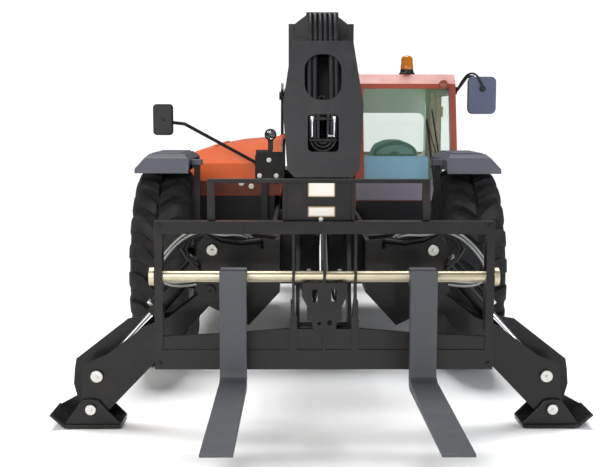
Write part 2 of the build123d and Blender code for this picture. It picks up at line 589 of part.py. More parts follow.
outer = section("outer") + pads("outer", "middle", boom_front + 20, boom_front + 140)
outer += pads("outer", "middle", boom_rear - 900, boom_rear - 760)
hw, hh = SECTIONS["outer"][:2]
collar = box((-hw - 14, hw + 14), (boom_front, boom_front + 160), (boom_axis_z - hh - 14, boom_axis_z + hh + 97))
collar -= box((-hw + 1, hw - 1), (boom_front - 1, boom_front + 161), (boom_axis_z - hh + 1, boom_axis_z + hh - 1))
collar -= box((-hw + 20, hw - 20), (boom_front - 1, boom_front + 161), (boom_axis_z + hh + 20, boom_axis_z + hh + 98))
# horns and an arch over the collar, that shield the hoses
top_z = boom_axis_z + hh
collar += along_y(((-hw - 13, top_z + 4), (-hw - 13, top_z + 97), (-165, top_z + 91), (-128, top_z + 120), (-80, top_z + 155),
                   (-30, top_z + 162), (30, top_z + 162), (80, top_z + 155), (128, top_z + 120), (165, top_z + 91),
                   (hw + 13, top_z + 97), (hw + 13, top_z + 4)), boom_front + 6, boom_front + 26)
outer += collar
# pivot at the rear, and the lift cylinder's lugs
pivot_tube = pin_x(boom_pivot_y, boom_pivot_z, boom_pin_radius + 30, -frame_half + frame_plate + air, frame_half - frame_plate - air)
outer += pivot_tube
outer += pin_x(boom_pivot_y, boom_pivot_z, boom_pin_radius, -frame_half - 20, frame_half + 20)
lug_half = 95.0
for s in (1, -1):
    lug = along_x(((lift_eye[0] - 150, boom_axis_z - hh + 1), (lift_eye[0] + 150, boom_axis_z - hh + 1),
                   (lift_eye[0] + 60, lift_eye[1] - 60), (lift_eye[0] - 60, lift_eye[1] - 60)),
                  s * (lug_half - 25), s * lug_half)
    outer += lug
for s in (1, -1):
    outer += pin_x(lift_eye[0], lift_eye[1], lift_pin_radius + 15, s * (lug_half - 25), s * (lug_half + 12))
save("boom_outer", outer)

middle = section("middle") + pads("middle", "inner", boom_front - 20, boom_front + 100)
save("boom_middle", middle)

ihw, ihh = SECTIONS["inner"][:2]
# head: the face's outline drawn back through a side profile
face = [(w_, z_) for z_, w_ in HEAD_FACE] + [(-w_, z_) for z_, w_ in reversed(HEAD_FACE)]
front_y = SECTIONS["inner"][3]
skin = head_skin
neck = ((front_y, boom_axis_z + ihh), (front_y - 120, head_top_z), (head_top_y, head_top_z), (head_knee_y, head_knee_z),
        (head_back_y, head_knee_z), (head_back_y, head_knee_z + 35), (front_y, head_heel_z), (front_y, boom_axis_z - ihh))
neck_in = ((front_y - 1, boom_axis_z + ihh - 2 * skin), (front_y - 120, head_top_z - skin), (head_top_y + 16, head_top_z - skin),
           (head_knee_y + 21, head_knee_z - 1), (head_back_y - skin, head_knee_z - 1), (head_back_y - skin, head_knee_z + 43),
           (front_y - skin, head_heel_z + 8), (front_y - skin, boom_axis_z - ihh + 30), (front_y - 1, boom_axis_z - ihh + 30))
head = along_y(face, head_knee_y - 10, front_y) & along_x(neck, -300, 300)
face_in = [(x - head_side if x > 0 else x + head_side, z) for x, z in face]
face_in = [(x, z - skin if z == head_top_z else (z - 1 if z == head_knee_z else z)) for x, z in face_in]
head -= along_y(face_in, head_knee_y - 10, front_y + 1) & along_x(neck_in, -300, 300)
# openings in the face
head -= Pos(0, -1600, 1988) * Rot(90, 0, 0) * extrude(RectangleRounded(205, 254, 90), 150, both=True)
head -= Pos(0, -1660, 1680) * Rot(90, 0, 0) * extrude(RectangleRounded(170, 205, 25), 90, both=True)
# lower cheeks down to the tilt pin, with a back plate between them
for s in (1, -1):
    head += along_x(((head_knee_y + 30, head_knee_z + 60), (head_back_y, head_knee_z + 60), (head_back_y, 1000),
                     (tilt_pivot_y + 75, tilt_pivot_z - 30), (tilt_pivot_y, tilt_pivot_z - 70),
                     (tilt_pivot_y - 60, tilt_pivot_z - 30), (tilt_pivot_y - 55, tilt_pivot_z + 120),
                     (head_knee_y - 20, 1100)),
                    s * (cheek_half - cheek_plate), s * cheek_half)
head += box((-cheek_half + 1, cheek_half - 1), (head_back_y - skin, head_back_y), (1010, head_knee_z + 1))
head -= pin_x(tilt_pivot_y, tilt_pivot_z, tilt_pin_radius + fit, -200, 200)
tilt_eye = (-1310.0, 1780.0)     # y, z of the tilt cylinder's pin in the head
tilt_lug = (-1850.0, 880.0)      # y, z of its pin on the carriage
tilt_pin_r = 24.0
head += pin_x(tilt_eye[0], tilt_eye[1], tilt_pin_r, -212, 212)
# hoses: over the top of the head in an arch, down behind the upper opening, and in loops behind the lower one
arch_y, arch_z = (front_y + head_top_y) / 2 + 2, head_top_z + 14
for i in range(6):
    x = -70.0 + 28.0 * i
    ring = Pos(x, arch_y, arch_z) * Rot(0, 90, 0) * Torus(141, 12)
    head += ring & box((x - 20, x + 20), (arch_y - 200, arch_y + 200), (head_top_z - 50, arch_z + 200))
head += box((-88, 88), (arch_y - 10, arch_y + 10), (arch_z + 126, arch_z + 157))
for s in (1, -1):
    head += box((s * 84, s * 92), (arch_y - 9, arch_y + 9), (head_top_z - 15, arch_z + 157))
for x in (-76, -46, 46, 76):
    head += rod((x, -1478, head_top_z - 10), (x, head_knee_y + 112, 1788), 13)
for x in (28, 49, 70):
    loop = Pos(0, -1622, 1650) * Rot(90, 0, 0) * Torus(x, 8)
    head += loop & box((-90, 90), (-1640, -1600), (1550, 1650))
    for s in (1, -1):
        head += rod((s * x, -1622, 1644), (s * x, -1622, 1790), 9.5)
tube = section("inner")
save("boom_inner", tube)
save("boom_head", head)

# ---- lift cylinder ------------------------------------------------------------------------------------------
def towards(p, q, d):
    """Point at distance d from p on the line to q, both (a, b) pairs."""
    l = hypot(q[0] - p[0], q[1] - p[1])
    return (p[0] + (q[0] - p[0]) * d / l, p[1] + (q[1] - p[1]) * d / l)


def cylinder_yz(foot, eye, r, rod_r, pin_r, length, eye_half, inside, x=0.0):
    """Barrel with its foot eye, and rod with its eye, in a plane of constant x."""
    l = hypot(eye[0] - foot[0], eye[1] - foot[1])
    p = lambda d: (x, *towards(foot, eye, d))
    barrel = rod(p(pin_r + 25), p(length), r)
    barrel += pin_x(foot[0], foot[1], pin_r + 26, x - eye_half, x + eye_half)
    barrel -= rod(p(pin_r + 70), p(length + 1), rod_r + fit)
    barrel -= pin_x(foot[0], foot[1], pin_r + fit, x - eye_half - 1, x + eye_half + 1)
    ram = rod(p(inside), p(l - pin_r - 10), rod_r)
    ram += pin_x(eye[0], eye[1], pin_r + 24, x - eye_half, x + eye_half)
    ram += pin_x(eye[0], eye[1], pin_r, x - eye_half - 2, x + eye_half + 2)
    return barrel, ram


lift_length = hypot(lift_eye[0] - lift_foot[0], lift_eye[1] - lift_foot[1]) - 168.0    # barrel, from its pin
tilt_length = hypot(tilt_eye[0] - tilt_lug[0], tilt_eye[1] - tilt_lug[1]) - 290.0
lift_barrel, lift_rod = cylinder_yz(lift_foot, lift_eye, 82, 55, lift_pin_radius, lift_length, lug_half - 31, 190)
lift_barrel += pin_x(lift_foot[0], lift_foot[1], lift_pin_radius, -frame_half - 12, frame_half + 12)
save("lift_barrel", lift_barrel)
save("lift_rod", lift_rod)

tilt_barrel, tilt_rod = cylinder_yz(tilt_eye, tilt_lug, 45, 30, tilt_pin_r, tilt_length, 36, 150)
save("tilt_barrel", tilt_barrel)
save("tilt_rod", tilt_rod)

# ---- carriage -----------------------------------------------------------------------------------------------
b0, b1 = carriage_front, carriage_back
carriage = box((-carriage_half, carriage_half), (b0, b1), (carriage_top - top_bar, carriage_top))
for s in (1, -1):
    carriage += box((s * (carriage_half - side_plate), s * carriage_half), (b0, b1), (carriage_low, carriage_top - 1))
lower = ((-carriage_half, carriage_low), (carriage_half, carriage_low), (carriage_half, lower_plate_end), (500, 630),
         (200, lower_plate_mid), (-200, lower_plate_mid), (-500, 630), (-carriage_half, lower_plate_end))
lower_sheet = along_y(lower, b0, b0 + 40)
lower_sheet -= box((-carriage_half + side_plate, carriage_half - side_plate), (b0 - 1, b0 + 9), (545, lower_plate_mid + 1))
carriage += lower_sheet
for x in (-rib_x, 0.0, rib_x):
    carriage += box((x - rib_plate / 2, x + rib_plate / 2), (b0, b1), (carriage_low + 20, carriage_top - top_bar + 1))
    if x:
        # gusset at the rib's foot
        carriage += along_y(((x - 20, 545), (x + 20, 545), (x + 20, 700), (x + 8, 745), (x - 8, 745), (x - 20, 700)), b0, b0 + 30)
# ears back to the tilt pin, and the lug for the tilt cylinder
ear_in = cheek_half + air
for s in (1, -1):
    ear = along_x(((b0 + 1, 480), (b0 + 1, 800), (b1 + 10, 800), (tilt_pivot_y + 60, tilt_pivot_z + 40),
                   (tilt_pivot_y + 60, tilt_pivot_z - 60), (tilt_pivot_y, tilt_pivot_z - 80)), s * ear_in, s * (ear_in + 22))
    carriage += ear
    lug = along_x(((b0 + 1, 700), (b0 + 1, 905), (b1, 965), (tilt_lug[0] + 10, tilt_lug[1] + 42), (tilt_lug[0] + 42, tilt_lug[1]),
                   (tilt_lug[0] + 10, tilt_lug[1] - 42)), s * 72, s * 92)
    carriage += lug
carriage += pin_x(tilt_pivot_y, tilt_pivot_z, tilt_pin_radius, -ear_in - 30, ear_in + 30)
for s in (1, -1):
    carriage += pin_x(tilt_lug[0], tilt_lug[1], tilt_pin_r + 8, s * 42, s * 102)
# web between the lugs, opened for lightness
web = along_y(((-60, lower_plate_mid - 1), (60, lower_plate_mid - 1), (74, 740), (118, 830), (118, 902), (-118, 902),
               (-118, 830), (-74, 740)), b0, b0 + 20)
for s in (1, -1):
    web -= rounded_y((s * 50 - 14, s * 50 + 14), (800, 868), (b0 - 1, b0 + 21), 10)
    web -= pin_y(s * 28, 690, 13, b0 - 1, b0 + 21)
carriage += web
carriage -= pin_x(shaft_y, shaft_z, shaft_radius + gap, -carriage_half - 10, carriage_half + 10)
save("carriage", carriage)

# load backrest
rest = box((-backrest_half, backrest_half), (b1 - 42, b1 - 8), (backrest_top - 22, backrest_top))
for x, w_ in ((-backrest_half + 20, 40), (-180, 20), (180, 20), (backrest_half - 20, 40)):
    rest += box((x - w_ / 2, x + w_ / 2), (b1 - 42, b1 - 8), (carriage_top + gap, backrest_top - 1))
rest += box((-171, 171), (b1 - 36, b1 - 14), (carriage_top + gap, backrest_top - 21))
save("backrest", Pos(backrest_x, 0, 0) * rest)

shaft = pin_x(shaft_y, shaft_z, shaft_radius, -shaft_half, shaft_half)
for s in (1, -1):
    shaft += pin_x(shaft_y, shaft_z, shaft_radius + 20, s * (carriage_half + gap), s * shaft_half)
save("fork_shaft", shaft)

heel_z = fork_blade_z - fork_thick
eye_r = shaft_radius + 20
for side, hand in ((1, "left"), (-1, "right")):
    back = fork_face + fork_thick
    profile = ((fork_face - fork_length, fork_blade_z - fork_tip), (fork_face - fork_length, fork_blade_z),
               (fork_face - 50, fork_blade_z), (fork_face - 12, fork_blade_z + 16), (fork_face, fork_blade_z + 55),
               (fork_face, fork_top), (back, fork_top), (back, heel_z + 50), (back - 18, heel_z + 14), (back - 55, heel_z))
    x0, x1 = FORK_X[hand] - fork_width / 2, FORK_X[hand] + fork_width / 2
    fork = along_x(profile, x0, x1)
    fork += pin_x(shaft_y, shaft_z, eye_r, x0, x1)
    fork += box((x0, x1), (back - 1, shaft_y), (shaft_z - 40, shaft_z + 40))
    fork -= pin_x(shaft_y, shaft_z, shaft_radius + fit, x0 - 1, x1 + 1)
    save(f"fork_{hand}", fork)

# ---- stabilisers --------------------------------------------------------------------------------------------
dx, dz = leg_pin[0] - leg_pivot[0], leg_pin[1] - leg_pivot[1]
reach = hypot(dx, dz)
ux, uz = dx / reach, dz / reach


def on_leg(u, v):
    """Point u along the leg from its pivot and v above its line."""
    return (leg_pivot[0] + u * ux - v * uz, leg_pivot[1] + u * uz + v * ux)


# the rear plate stands higher than the front one, so that the ram's rod shows between them
leg_front = [on_leg(u, v) for u, v in ((0, -60), (880, -195), (975, -190), (1010, -150), (1000, -72), (934, -13), (850, 92),
                                       (800, 90), (700, 64), (430, 60), (285, 18), (60, 20), (0, 60), (-50, 30), (-50, -30))]
leg_back = [on_leg(u, v) for u, v in ((0, -60), (880, -195), (975, -190), (1010, -150), (1040, -60), (1001, 34), (941, 101),
                                      (896, 142), (511, 144), (285, 24), (60, 20), (0, 60), (-50, 30), (-50, -30))]
bottom_web = [on_leg(u, v) for u, v in ((90, -74), (880, -195), (880, -180), (90, -58))]
for side, hand in ((1, "left"), (-1, "right")):
    leg = None
    for y0, leg_face in ((leg_y - leg_half, leg_front), (leg_y + leg_half - leg_plate, leg_back)):
        sheet = along_y(leg_face, y0, y0 + leg_plate)
        leg = sheet if leg is None else leg + sheet
    leg += along_y(bottom_web, leg_y - leg_half + 1, leg_y + leg_half - 1)
    leg += pin_y(*leg_pivot, leg_pin_radius + 16, leg_y - leg_half + 1, leg_y + leg_half - 1)
    leg += pin_y(*leg_pivot, leg_pin_radius, leg_y - clevis_gap - clevis_plate - 12, leg_y + clevis_gap + clevis_plate + 12)
    for s in (1, -1):
        leg += pin_y(*leg_pin, 34, leg_y + s * (leg_half - leg_plate - 8), leg_y + s * (leg_half + 12))
    leg -= pin_y(*foot_pin, 24 + fit, leg_y - leg_half - 20, leg_y + leg_half + 20)
    save(f"stabiliser_leg_{hand}", flip(leg, side))

    l = hypot(leg_pin[0] - ram_pin[0], leg_pin[1] - ram_pin[1])
    p = lambda d: (lambda q: (q[0], leg_y, q[1]))(towards(ram_pin, leg_pin, d))
    barrel = rod(p(40), p(520), 42) + pin_y(*ram_pin, 50, leg_y - 40, leg_y + 40)
    # hose along the barrel to its lower port
    across = Vector(leg_pin[1] - ram_pin[1], 0, ram_pin[0] - leg_pin[0]).normalized() * -56
    for d in (130, 480):
        barrel += rod(Vector(*p(d)) + across * 0.6, Vector(*p(d)) + across, 14)
    barrel += rod(Vector(*p(125)) + across, Vector(*p(485)) + across, 9)
    barrel -= rod(p(96), p(521), 26 + fit)
    barrel += pin_y(*ram_pin, leg_pin_radius, leg_y - clevis_gap - clevis_plate - 12, leg_y + clevis_gap + clevis_plate + 12)
    ram = rod(p(510), p(l - 40), 26)
    ram += rod(p(100 + 400), p(520), 26)
    ram += pin_y(*leg_pin, 50, leg_y - 40, leg_y + 40)
    ram += pin_y(*leg_pin, 26, leg_y - 50, leg_y + 50)
    save(f"stabiliser_barrel_{hand}", flip(barrel, side))
    save(f"stabiliser_rod_{hand}", flip(ram, side))

    fx, fz = foot_pin
    base = ((fx - 168, foot_low), (fx + 150, foot_low), (fx + 235, foot_low + 72), (fx + 226, foot_low + 84),
            (fx + 144, foot_low + 18), (fx - 168, foot_low + 18))
    foot = along_y(base, leg_y - foot_half, leg_y + foot_half)
    # cheeks outside the leg; the rear one reaches up to the lip
    ear_front = ((fx - 168, foot_low), (fx - 168, foot_low + 24), (fx - 94, fz - 8), (fx - 45, fz + 48), (fx, fz + 58),
                 (fx + 45, fz + 52), (fx + 72, fz + 24), (fx + 156, foot_low + 16), (fx + 150, foot_low))
    ear_back = ear_front[:5] + ((fx + 70, fz + 54), (fx + 160, fz + 6), (fx + 234, foot_low + 72), (fx + 150, foot_low))
    for y0, ear_face in ((leg_y - leg_half - air - 15, ear_front), (leg_y + leg_half + air, ear_back)):
        foot += along_y(ear_face, y0, y0 + 15)
    foot += pin_y(fx, fz, 24, leg_y - leg_half - air - 25, leg_y + leg_half + air + 25)
    save(f"stabiliser_foot_{hand}", flip(foot, side))
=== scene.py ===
# %% [markdown]
# # A telescopic handler in its working finish
# The machine comes in as plain solids: a frame, a boom of three tubes, a cab, four wheels, a fork carriage and two
# stabilisers. Here each surface gets its real finish, and what a workshop would bolt, clip or mould on is added.
# Everything is in metres: +Z is up, the forks point to -Y, and +X is the side with the cab.

import math

import bmesh
import bpy
from mathutils import Matrix, Vector


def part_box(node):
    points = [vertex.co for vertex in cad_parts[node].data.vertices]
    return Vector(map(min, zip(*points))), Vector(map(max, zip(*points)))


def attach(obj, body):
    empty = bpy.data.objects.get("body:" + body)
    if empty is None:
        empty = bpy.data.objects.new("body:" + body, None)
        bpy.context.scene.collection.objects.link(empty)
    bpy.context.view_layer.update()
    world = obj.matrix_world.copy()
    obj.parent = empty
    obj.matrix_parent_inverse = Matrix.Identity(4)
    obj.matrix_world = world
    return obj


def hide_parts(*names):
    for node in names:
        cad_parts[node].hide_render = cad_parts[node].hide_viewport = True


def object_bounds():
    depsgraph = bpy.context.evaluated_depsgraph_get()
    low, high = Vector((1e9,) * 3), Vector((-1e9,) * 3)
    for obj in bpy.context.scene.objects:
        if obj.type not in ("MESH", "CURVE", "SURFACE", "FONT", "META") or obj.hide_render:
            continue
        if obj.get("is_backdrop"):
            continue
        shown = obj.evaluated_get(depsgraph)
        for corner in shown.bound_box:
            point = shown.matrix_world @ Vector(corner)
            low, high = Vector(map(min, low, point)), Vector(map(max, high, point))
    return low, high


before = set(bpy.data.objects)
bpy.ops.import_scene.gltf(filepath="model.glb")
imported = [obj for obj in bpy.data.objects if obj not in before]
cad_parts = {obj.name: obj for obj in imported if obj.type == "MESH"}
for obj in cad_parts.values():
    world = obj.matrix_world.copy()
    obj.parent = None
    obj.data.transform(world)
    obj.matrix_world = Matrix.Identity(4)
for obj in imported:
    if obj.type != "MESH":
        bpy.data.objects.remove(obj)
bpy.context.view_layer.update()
SIDES = (("left", 1), ("right", -1))      # the machine's own left is +X
ENDS = ("front", "rear")


def middle(node):
    """Centre of a solid's box."""
    low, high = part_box(node)
    return (Vector(low) + Vector(high)) / 2


AXLE_Y = middle("tyre_front_left").y
print(len(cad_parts), "solids, front axle at y", round(AXLE_Y, 3))

# %% [markdown]
# ## Camera
# A big machine is best shown from far off: close by, a short lens would blow up the forks, and a view without
# perspective would lose the depth between forks and cab. So a fairly long lens stands well ahead of the axle, looks a
# little down and sits slightly towards the machine's right-hand side.

# %% Camera
CAMERA_AT = Vector((-0.1578, AXLE_Y - 7.4459, 1.7675))
TURN, DIP, ROLL = 0.0101, 0.1108, 0.0019      # radians
camera_data = bpy.data.cameras.new("camera")
camera_data.sensor_width = 36.0
camera_data.lens = 61.86
camera = bpy.data.objects.new("camera", camera_data)
bpy.context.scene.collection.objects.link(camera)
camera.matrix_world = (Matrix.Translation(CAMERA_AT) @ Matrix.Rotation(-TURN, 4, "Z")
                       @ Matrix.Rotation(math.pi / 2 - DIP, 4, "X") @ Matrix.Rotation(ROLL, 4, "Z"))
bpy.context.scene.camera = camera
print("camera", round(AXLE_Y - CAMERA_AT.y, 2), "m ahead of the axle, lens", camera_data.lens, "mm")

# %% [markdown]
# ## Nodes and colours
# A material is a small tree of nodes. Three helpers keep every tree short: one turns an sRGB hex value into the linear
# colour that a shader works with, one adds a node with its settings and links, and one opens a new material and hands
# over its shader and the piece's own coordinates, so that a pattern stays on the piece when it moves.

# %% Helpers for materials
MIX_BY, MIX_FROM, MIX_TO, MIXED = 0, 6, 7, 2      # sockets of a Mix node that is set to colour


def srgb(code):
    """Linear colour from an sRGB hex value."""
    out = []
    for i in (0, 2, 4):
        c = int(code[i:i + 2], 16) / 255
        out.append(c / 12.92 if c <= 0.04045 else ((c + 0.055) / 1.055) ** 2.4)
    return (*out, 1.0)


def add(tree, kind, settings=None, links=None):
    """Adds a node, sets its properties or socket values, and joins its sockets to others."""
    node = tree.nodes.new(kind)
    for key, value in (settings or {}).items():
        if isinstance(key, str) and hasattr(node, key):
            setattr(node, key, value)
        else:
            node.inputs[key].default_value = value
    for key, source in (links or {}).items():
        tree.links.new(source, node.inputs[key])
    return node


def new_finish(name, **sockets):
    """New material: gives it back with its tree, its shader and the piece's own coordinates. An underscore in a
    socket's name stands for a space."""
    material = bpy.data.materials.new(name)
    material.use_nodes = True
    tree = material.node_tree
    shader = tree.nodes["Principled BSDF"]
    for socket, value in sockets.items():
        shader.inputs[socket.replace("_", " ")].default_value = value
    return material, tree, shader, add(tree, "ShaderNodeTexCoord").outputs["Object"]


print("colour helper: mid grey 808080 is", round(srgb("808080")[0], 3), "in linear light")

# %% [markdown]
# ## Studio
# A white paper sweep would be a curved sheet behind the machine. A flat floor that runs out to a white sky gives the
# same even ground with less to model. The floor is matt, so no reflection of the machine competes with its shadow.

# %% Floor
FLOOR_HALF = 400.0      # metres from the middle, so that its edge lies on the horizon
floor_paint, tree, shader, where = new_finish("white_painted_floor", Base_Color=srgb("fbfbfb"), Specular_IOR_Level=0.1)
speck = add(tree, "ShaderNodeTexNoise", {"Scale": 1.5, "Detail": 2.0}, {"Vector": where})
tone = add(tree, "ShaderNodeMapRange", {"To Min": 0.55, "To Max": 0.7}, {"Value": speck.outputs["Fac"]})
tree.links.new(tone.outputs["Result"], shader.inputs["Roughness"])
floor_mesh = bpy.data.meshes.new("floor")
floor_mesh.from_pydata([(x * FLOOR_HALF, y * FLOOR_HALF, 0) for x, y in ((-1, -1), (1, -1), (1, 1), (-1, 1))], [],
                       [(0, 1, 2, 3)])
floor = bpy.data.objects.new("floor", floor_mesh)
bpy.context.scene.collection.objects.link(floor)
floor_mesh.materials.append(floor_paint)
floor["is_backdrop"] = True
print("floor", 2 * FLOOR_HALF, "m across")

# %% [markdown]
# ## Sky
# One white sky bright enough for a white background would also fill every shadow and wash out black paint. A Light Path
# node tells a ray that reaches the eye, straight or through glass, from one that only lights the machine: the first
# kind sees the white sweep, the other kind sees a dim room.

# %% Sky
SWEEP, ROOM = 1.1, 0.2      # brightness of the background and of the room's fill
world = bpy.data.worlds.new("sky")
bpy.context.scene.world = world
world.use_nodes = True
tree = world.node_tree
path = add(tree, "ShaderNodeLightPath")
seen = add(tree, "ShaderNodeMath", {"operation": "MAXIMUM"},
           {0: path.outputs["Is Camera Ray"], 1: path.outputs["Is Transmission Ray"]})
level = add(tree, "ShaderNodeMapRange", {"To Min": ROOM, "To Max": SWEEP}, {"Value": seen.outputs[0]})
sky = tree.nodes["Background"]
sky.inputs["Color"].default_value = srgb("ffffff")
tree.links.new(level.outputs["Result"], sky.inputs["Strength"])
bpy.context.scene.view_settings.view_transform = "Standard"
print("sky", SWEEP, "behind the machine,", ROOM, "in its reflections")

# %% [markdown]
# ## Lamps
# A broad lamp overhead lights the floor evenly out to the horizon and lays a soft grey shadow under the machine. An
# area lamp fades with distance and would leave a bright pool, so this one is a sun with a wide angle. Three panels, the
# big one warm and in front, draw gentle highlights along the machine's edges; the cool one picks out the cab's side.

# %% Lamps
SUN_POWER, SUN_ANGLE, SUN_AIM = 3.25, 34, Vector((0.05, -0.34, -1))
WARM, COOL = (1.0, 0.97, 0.94), (0.8, 0.9, 1.0)
# name, place, aim, width, height, watts, colour
PANELS = (("front_panel", (-2.5, -9.0, 4.4), (0, -1.5, 1.0), 5.0, 2.5, 520, WARM),
          ("left_panel", (-7.5, -3.0, 4.0), (0, -1.0, 1.0), 4.0, 4.0, 90, WARM),
          ("right_panel", (7.0, -5.5, 3.0), (0, -1.0, 1.0), 3.0, 4.0, 210, COOL))


def lamp(name, kind, power, aim):
    """Lamp that looks along a direction."""
    data = bpy.data.lights.new(name, kind)
    data.energy = power
    made = bpy.data.objects.new(name, data)
    bpy.context.scene.collection.objects.link(made)
    made.rotation_euler = aim.to_track_quat("-Z", "Y").to_euler()
    return made


lamp("overhead_lamp", "SUN", SUN_POWER, SUN_AIM).data.angle = math.radians(SUN_ANGLE)
for name, place, target, wide, high, power, colour in PANELS:
    panel = lamp(name, "AREA", power, Vector(target) - Vector(place))
    panel.location = place
    panel.data.shape, panel.data.size, panel.data.size_y, panel.data.color = "RECTANGLE", wide, high, colour
print("overhead lamp and", len(PANELS), "panels")

# %% [markdown]
# ## Painted steel
# Sprayed enamel and powder coat are a film of plastic on steel: a plain coloured surface with a clear gloss and no
# metal in it. Flat colour alone looks like paper, so three slow or fine patterns are laid over it: a drift of tone
# over a metre, dust in soft patches, and the peel of sprayed paint, drawn at 4 mm where the real one is 1 to 2 mm.

# %% Painted steel
def enamel(name, base, shade, dust, roughness, coat=0.0, ripple=0.004, dusty=0.35, level=0.3):
    """Enamel or powder coat. ripple is the peel's pitch in metres, dusty how far the dust covers."""
    material, tree, shader, where = new_finish(name, Coat_Weight=coat, Specular_IOR_Level=level)
    drift = add(tree, "ShaderNodeTexNoise", {"Scale": 1.7, "Detail": 3.0, "Roughness": 0.55}, {"Vector": where})
    tone = add(tree, "ShaderNodeMix", {"data_type": "RGBA", MIX_FROM: srgb(shade), MIX_TO: srgb(base)},
               {MIX_BY: drift.outputs["Fac"]})
    patch = add(tree, "ShaderNodeTexNoise", {"Scale": 6.5, "Detail": 8.0, "Roughness": 0.7}, {"Vector": where})
    film = add(tree, "ShaderNodeMapRange", {"From Min": 0.52, "From Max": 0.8, "To Min": 0.0, "To Max": dusty},
               {"Value": patch.outputs["Fac"]})
    colour = add(tree, "ShaderNodeMix", {"data_type": "RGBA", MIX_TO: srgb(dust)},
                 {MIX_BY: film.outputs["Result"], MIX_FROM: tone.outputs[MIXED]})
    tree.links.new(colour.outputs[MIXED], shader.inputs["Base Color"])
    gloss = add(tree, "ShaderNodeMapRange", {"From Min": 0.3, "From Max": 0.75, "To Min": roughness - 0.05,
                                              "To Max": roughness + 0.14}, {"Value": patch.outputs["Fac"]})
    tree.links.new(gloss.outputs["Result"], shader.inputs["Roughness"])
    peel = add(tree, "ShaderNodeTexNoise", {"Scale": 1 / ripple, "Detail": 2.0}, {"Vector": where})
    bump = add(tree, "ShaderNodeBump", {"Strength": 0.12, "Distance": 0.001}, {"Height": peel.outputs["Fac"]})
    tree.links.new(bump.outputs["Normal"], shader.inputs["Normal"])
    return material


print("enamel: three patterns over one colour")

# %% [markdown]
# ## The machine's paints
# One machine wears many paints: powder coat on welded parts, satin black on tools, glossy colour on the bodywork. Each
# line gives its colour, its darker tone and the dust's colour as sRGB hex, then the roughness. The blacks get a lower
# specular level than the colours, or the white studio would turn them grey.

# %% Paints
# powder coat on the boom head: thick and even, a dull dark grey whose edges stay soft
charcoal = enamel("charcoal_powder_coat", "242529", "1f2024", "4a4844", 0.42, level=0.25)
# satin enamel on carriage and stabilisers: nearly black, with a tight low gleam along each plate
black_steel = enamel("black_satin_enamel", "1b1a1a", "151414", "37332f", 0.3, coat=0.06, level=0.22)
# chassis enamel: the same black left dull by road dust
frame_black = enamel("black_chassis_enamel", "19191b", "121213", "3a3632", 0.45, dusty=0.5, level=0.22)
# boom enamel: smooth rolled tube, a cool black with a long soft highlight
boom_black = enamel("black_boom_enamel", "1d1e22", "17181b", "3a3836", 0.36, coat=0.1, level=0.25)
# hood enamel: a warm clear orange, kept clean, with a shallow shine
orange = enamel("orange_gloss_enamel", "e2672f", "d65e2b", "c08260", 0.36, coat=0.08, dusty=0.12)
# cab enamel: a redder orange, chalky from years of sun
cab_orange = enamel("red_orange_cab_enamel", "ae5644", "9e4a39", "9b7365", 0.34, coat=0.12, dusty=0.12)
# painted shade under the hood's front: its orange darkened to a dark red as shade, going brown where dust sits
painted_shade_red = enamel("red_steel_painted_shade", "6d3022", "5a281e", "4a3a34", 0.4, dusty=0.3)
# fork paint: blue-grey and rubbed matt by pallets, on coarser forged steel
fork_grey = enamel("blue_grey_fork_paint", "45474b", "3c3f43", "595754", 0.5, ripple=0.006)
# rim enamel: pale grey under a tan film of dried mud
rim_grey = enamel("light_grey_rim_enamel", "9a9a98", "8c8c8a", "7a6f62", 0.38, dusty=0.5)
# painted iron of the engine block: rough from its sand mould, with oily brown dust
engine_grey = enamel("grey_cast_iron", "454649", "37373b", "5a5249", 0.6, ripple=0.006, dusty=0.5)
print("ten painted finishes")

# %% [markdown]
# ## Rubber
# Vulcanised rubber is nearly black and matt, and holds pale dust in its grain. The dust could be painted on by hand,
# but a noise with many octaves already gathers it in ragged patches, the way it lies on a tyre. The grain is drawn at
# 3 mm, coarser than the real one, so that it still shows from a few metres.

# %% Rubber
RUBBER_GRAIN = 0.003      # metres


def rubber(name, base, dust, roughness, dusty=0.7):
    """Vulcanised rubber: nearly black, matt, with pale dust caught in a fine grain."""
    material, tree, shader, where = new_finish(name, Roughness=roughness, Specular_IOR_Level=0.25)
    patch = add(tree, "ShaderNodeTexNoise", {"Scale": 9.0, "Detail": 9.0, "Roughness": 0.72}, {"Vector": where})
    film = add(tree, "ShaderNodeMapRange", {"From Min": 0.42, "From Max": 0.75, "To Max": dusty},
               {"Value": patch.outputs["Fac"]})
    colour = add(tree, "ShaderNodeMix", {"data_type": "RGBA", MIX_FROM: srgb(base), MIX_TO: srgb(dust)},
                 {MIX_BY: film.outputs["Result"]})
    tree.links.new(colour.outputs[MIXED], shader.inputs["Base Color"])
    fine = add(tree, "ShaderNodeTexNoise", {"Scale": 1 / RUBBER_GRAIN, "Detail": 3.0}, {"Vector": where})
    bump = add(tree, "ShaderNodeBump", {"Strength": 0.35, "Distance": 0.001}, {"Height": fine.outputs["Fac"]})
    tree.links.new(bump.outputs["Normal"], shader.inputs["Normal"])
    return material


print("rubber: grain every", RUBBER_GRAIN * 1000, "mm")

# %% [markdown]
# ## Three rubbers
# A tyre compound is full of carbon black and matt, a hose cover is extruded and stays oily, and a window seal is soft
# and even. The recipe is the same, so only colour, roughness and the reach of the dust change.

# %% Rubbers
# tyre rubber: dull, brownish where dust fills the grooves
tyre_rubber = rubber("tyre_rubber", "191a1c", "36342f", 0.78)
# hose cover: extruded and oily, so smoother and with a low shine
hose_rubber = rubber("black_hose_rubber", "111215", "2b2a2b", 0.38, dusty=0.3)
# seal rubber: even soft black, a quiet line round each pane
seal_rubber = rubber("window_seal_rubber", "141416", "2a2a2a", 0.6, dusty=0.3)
print("three rubbers")

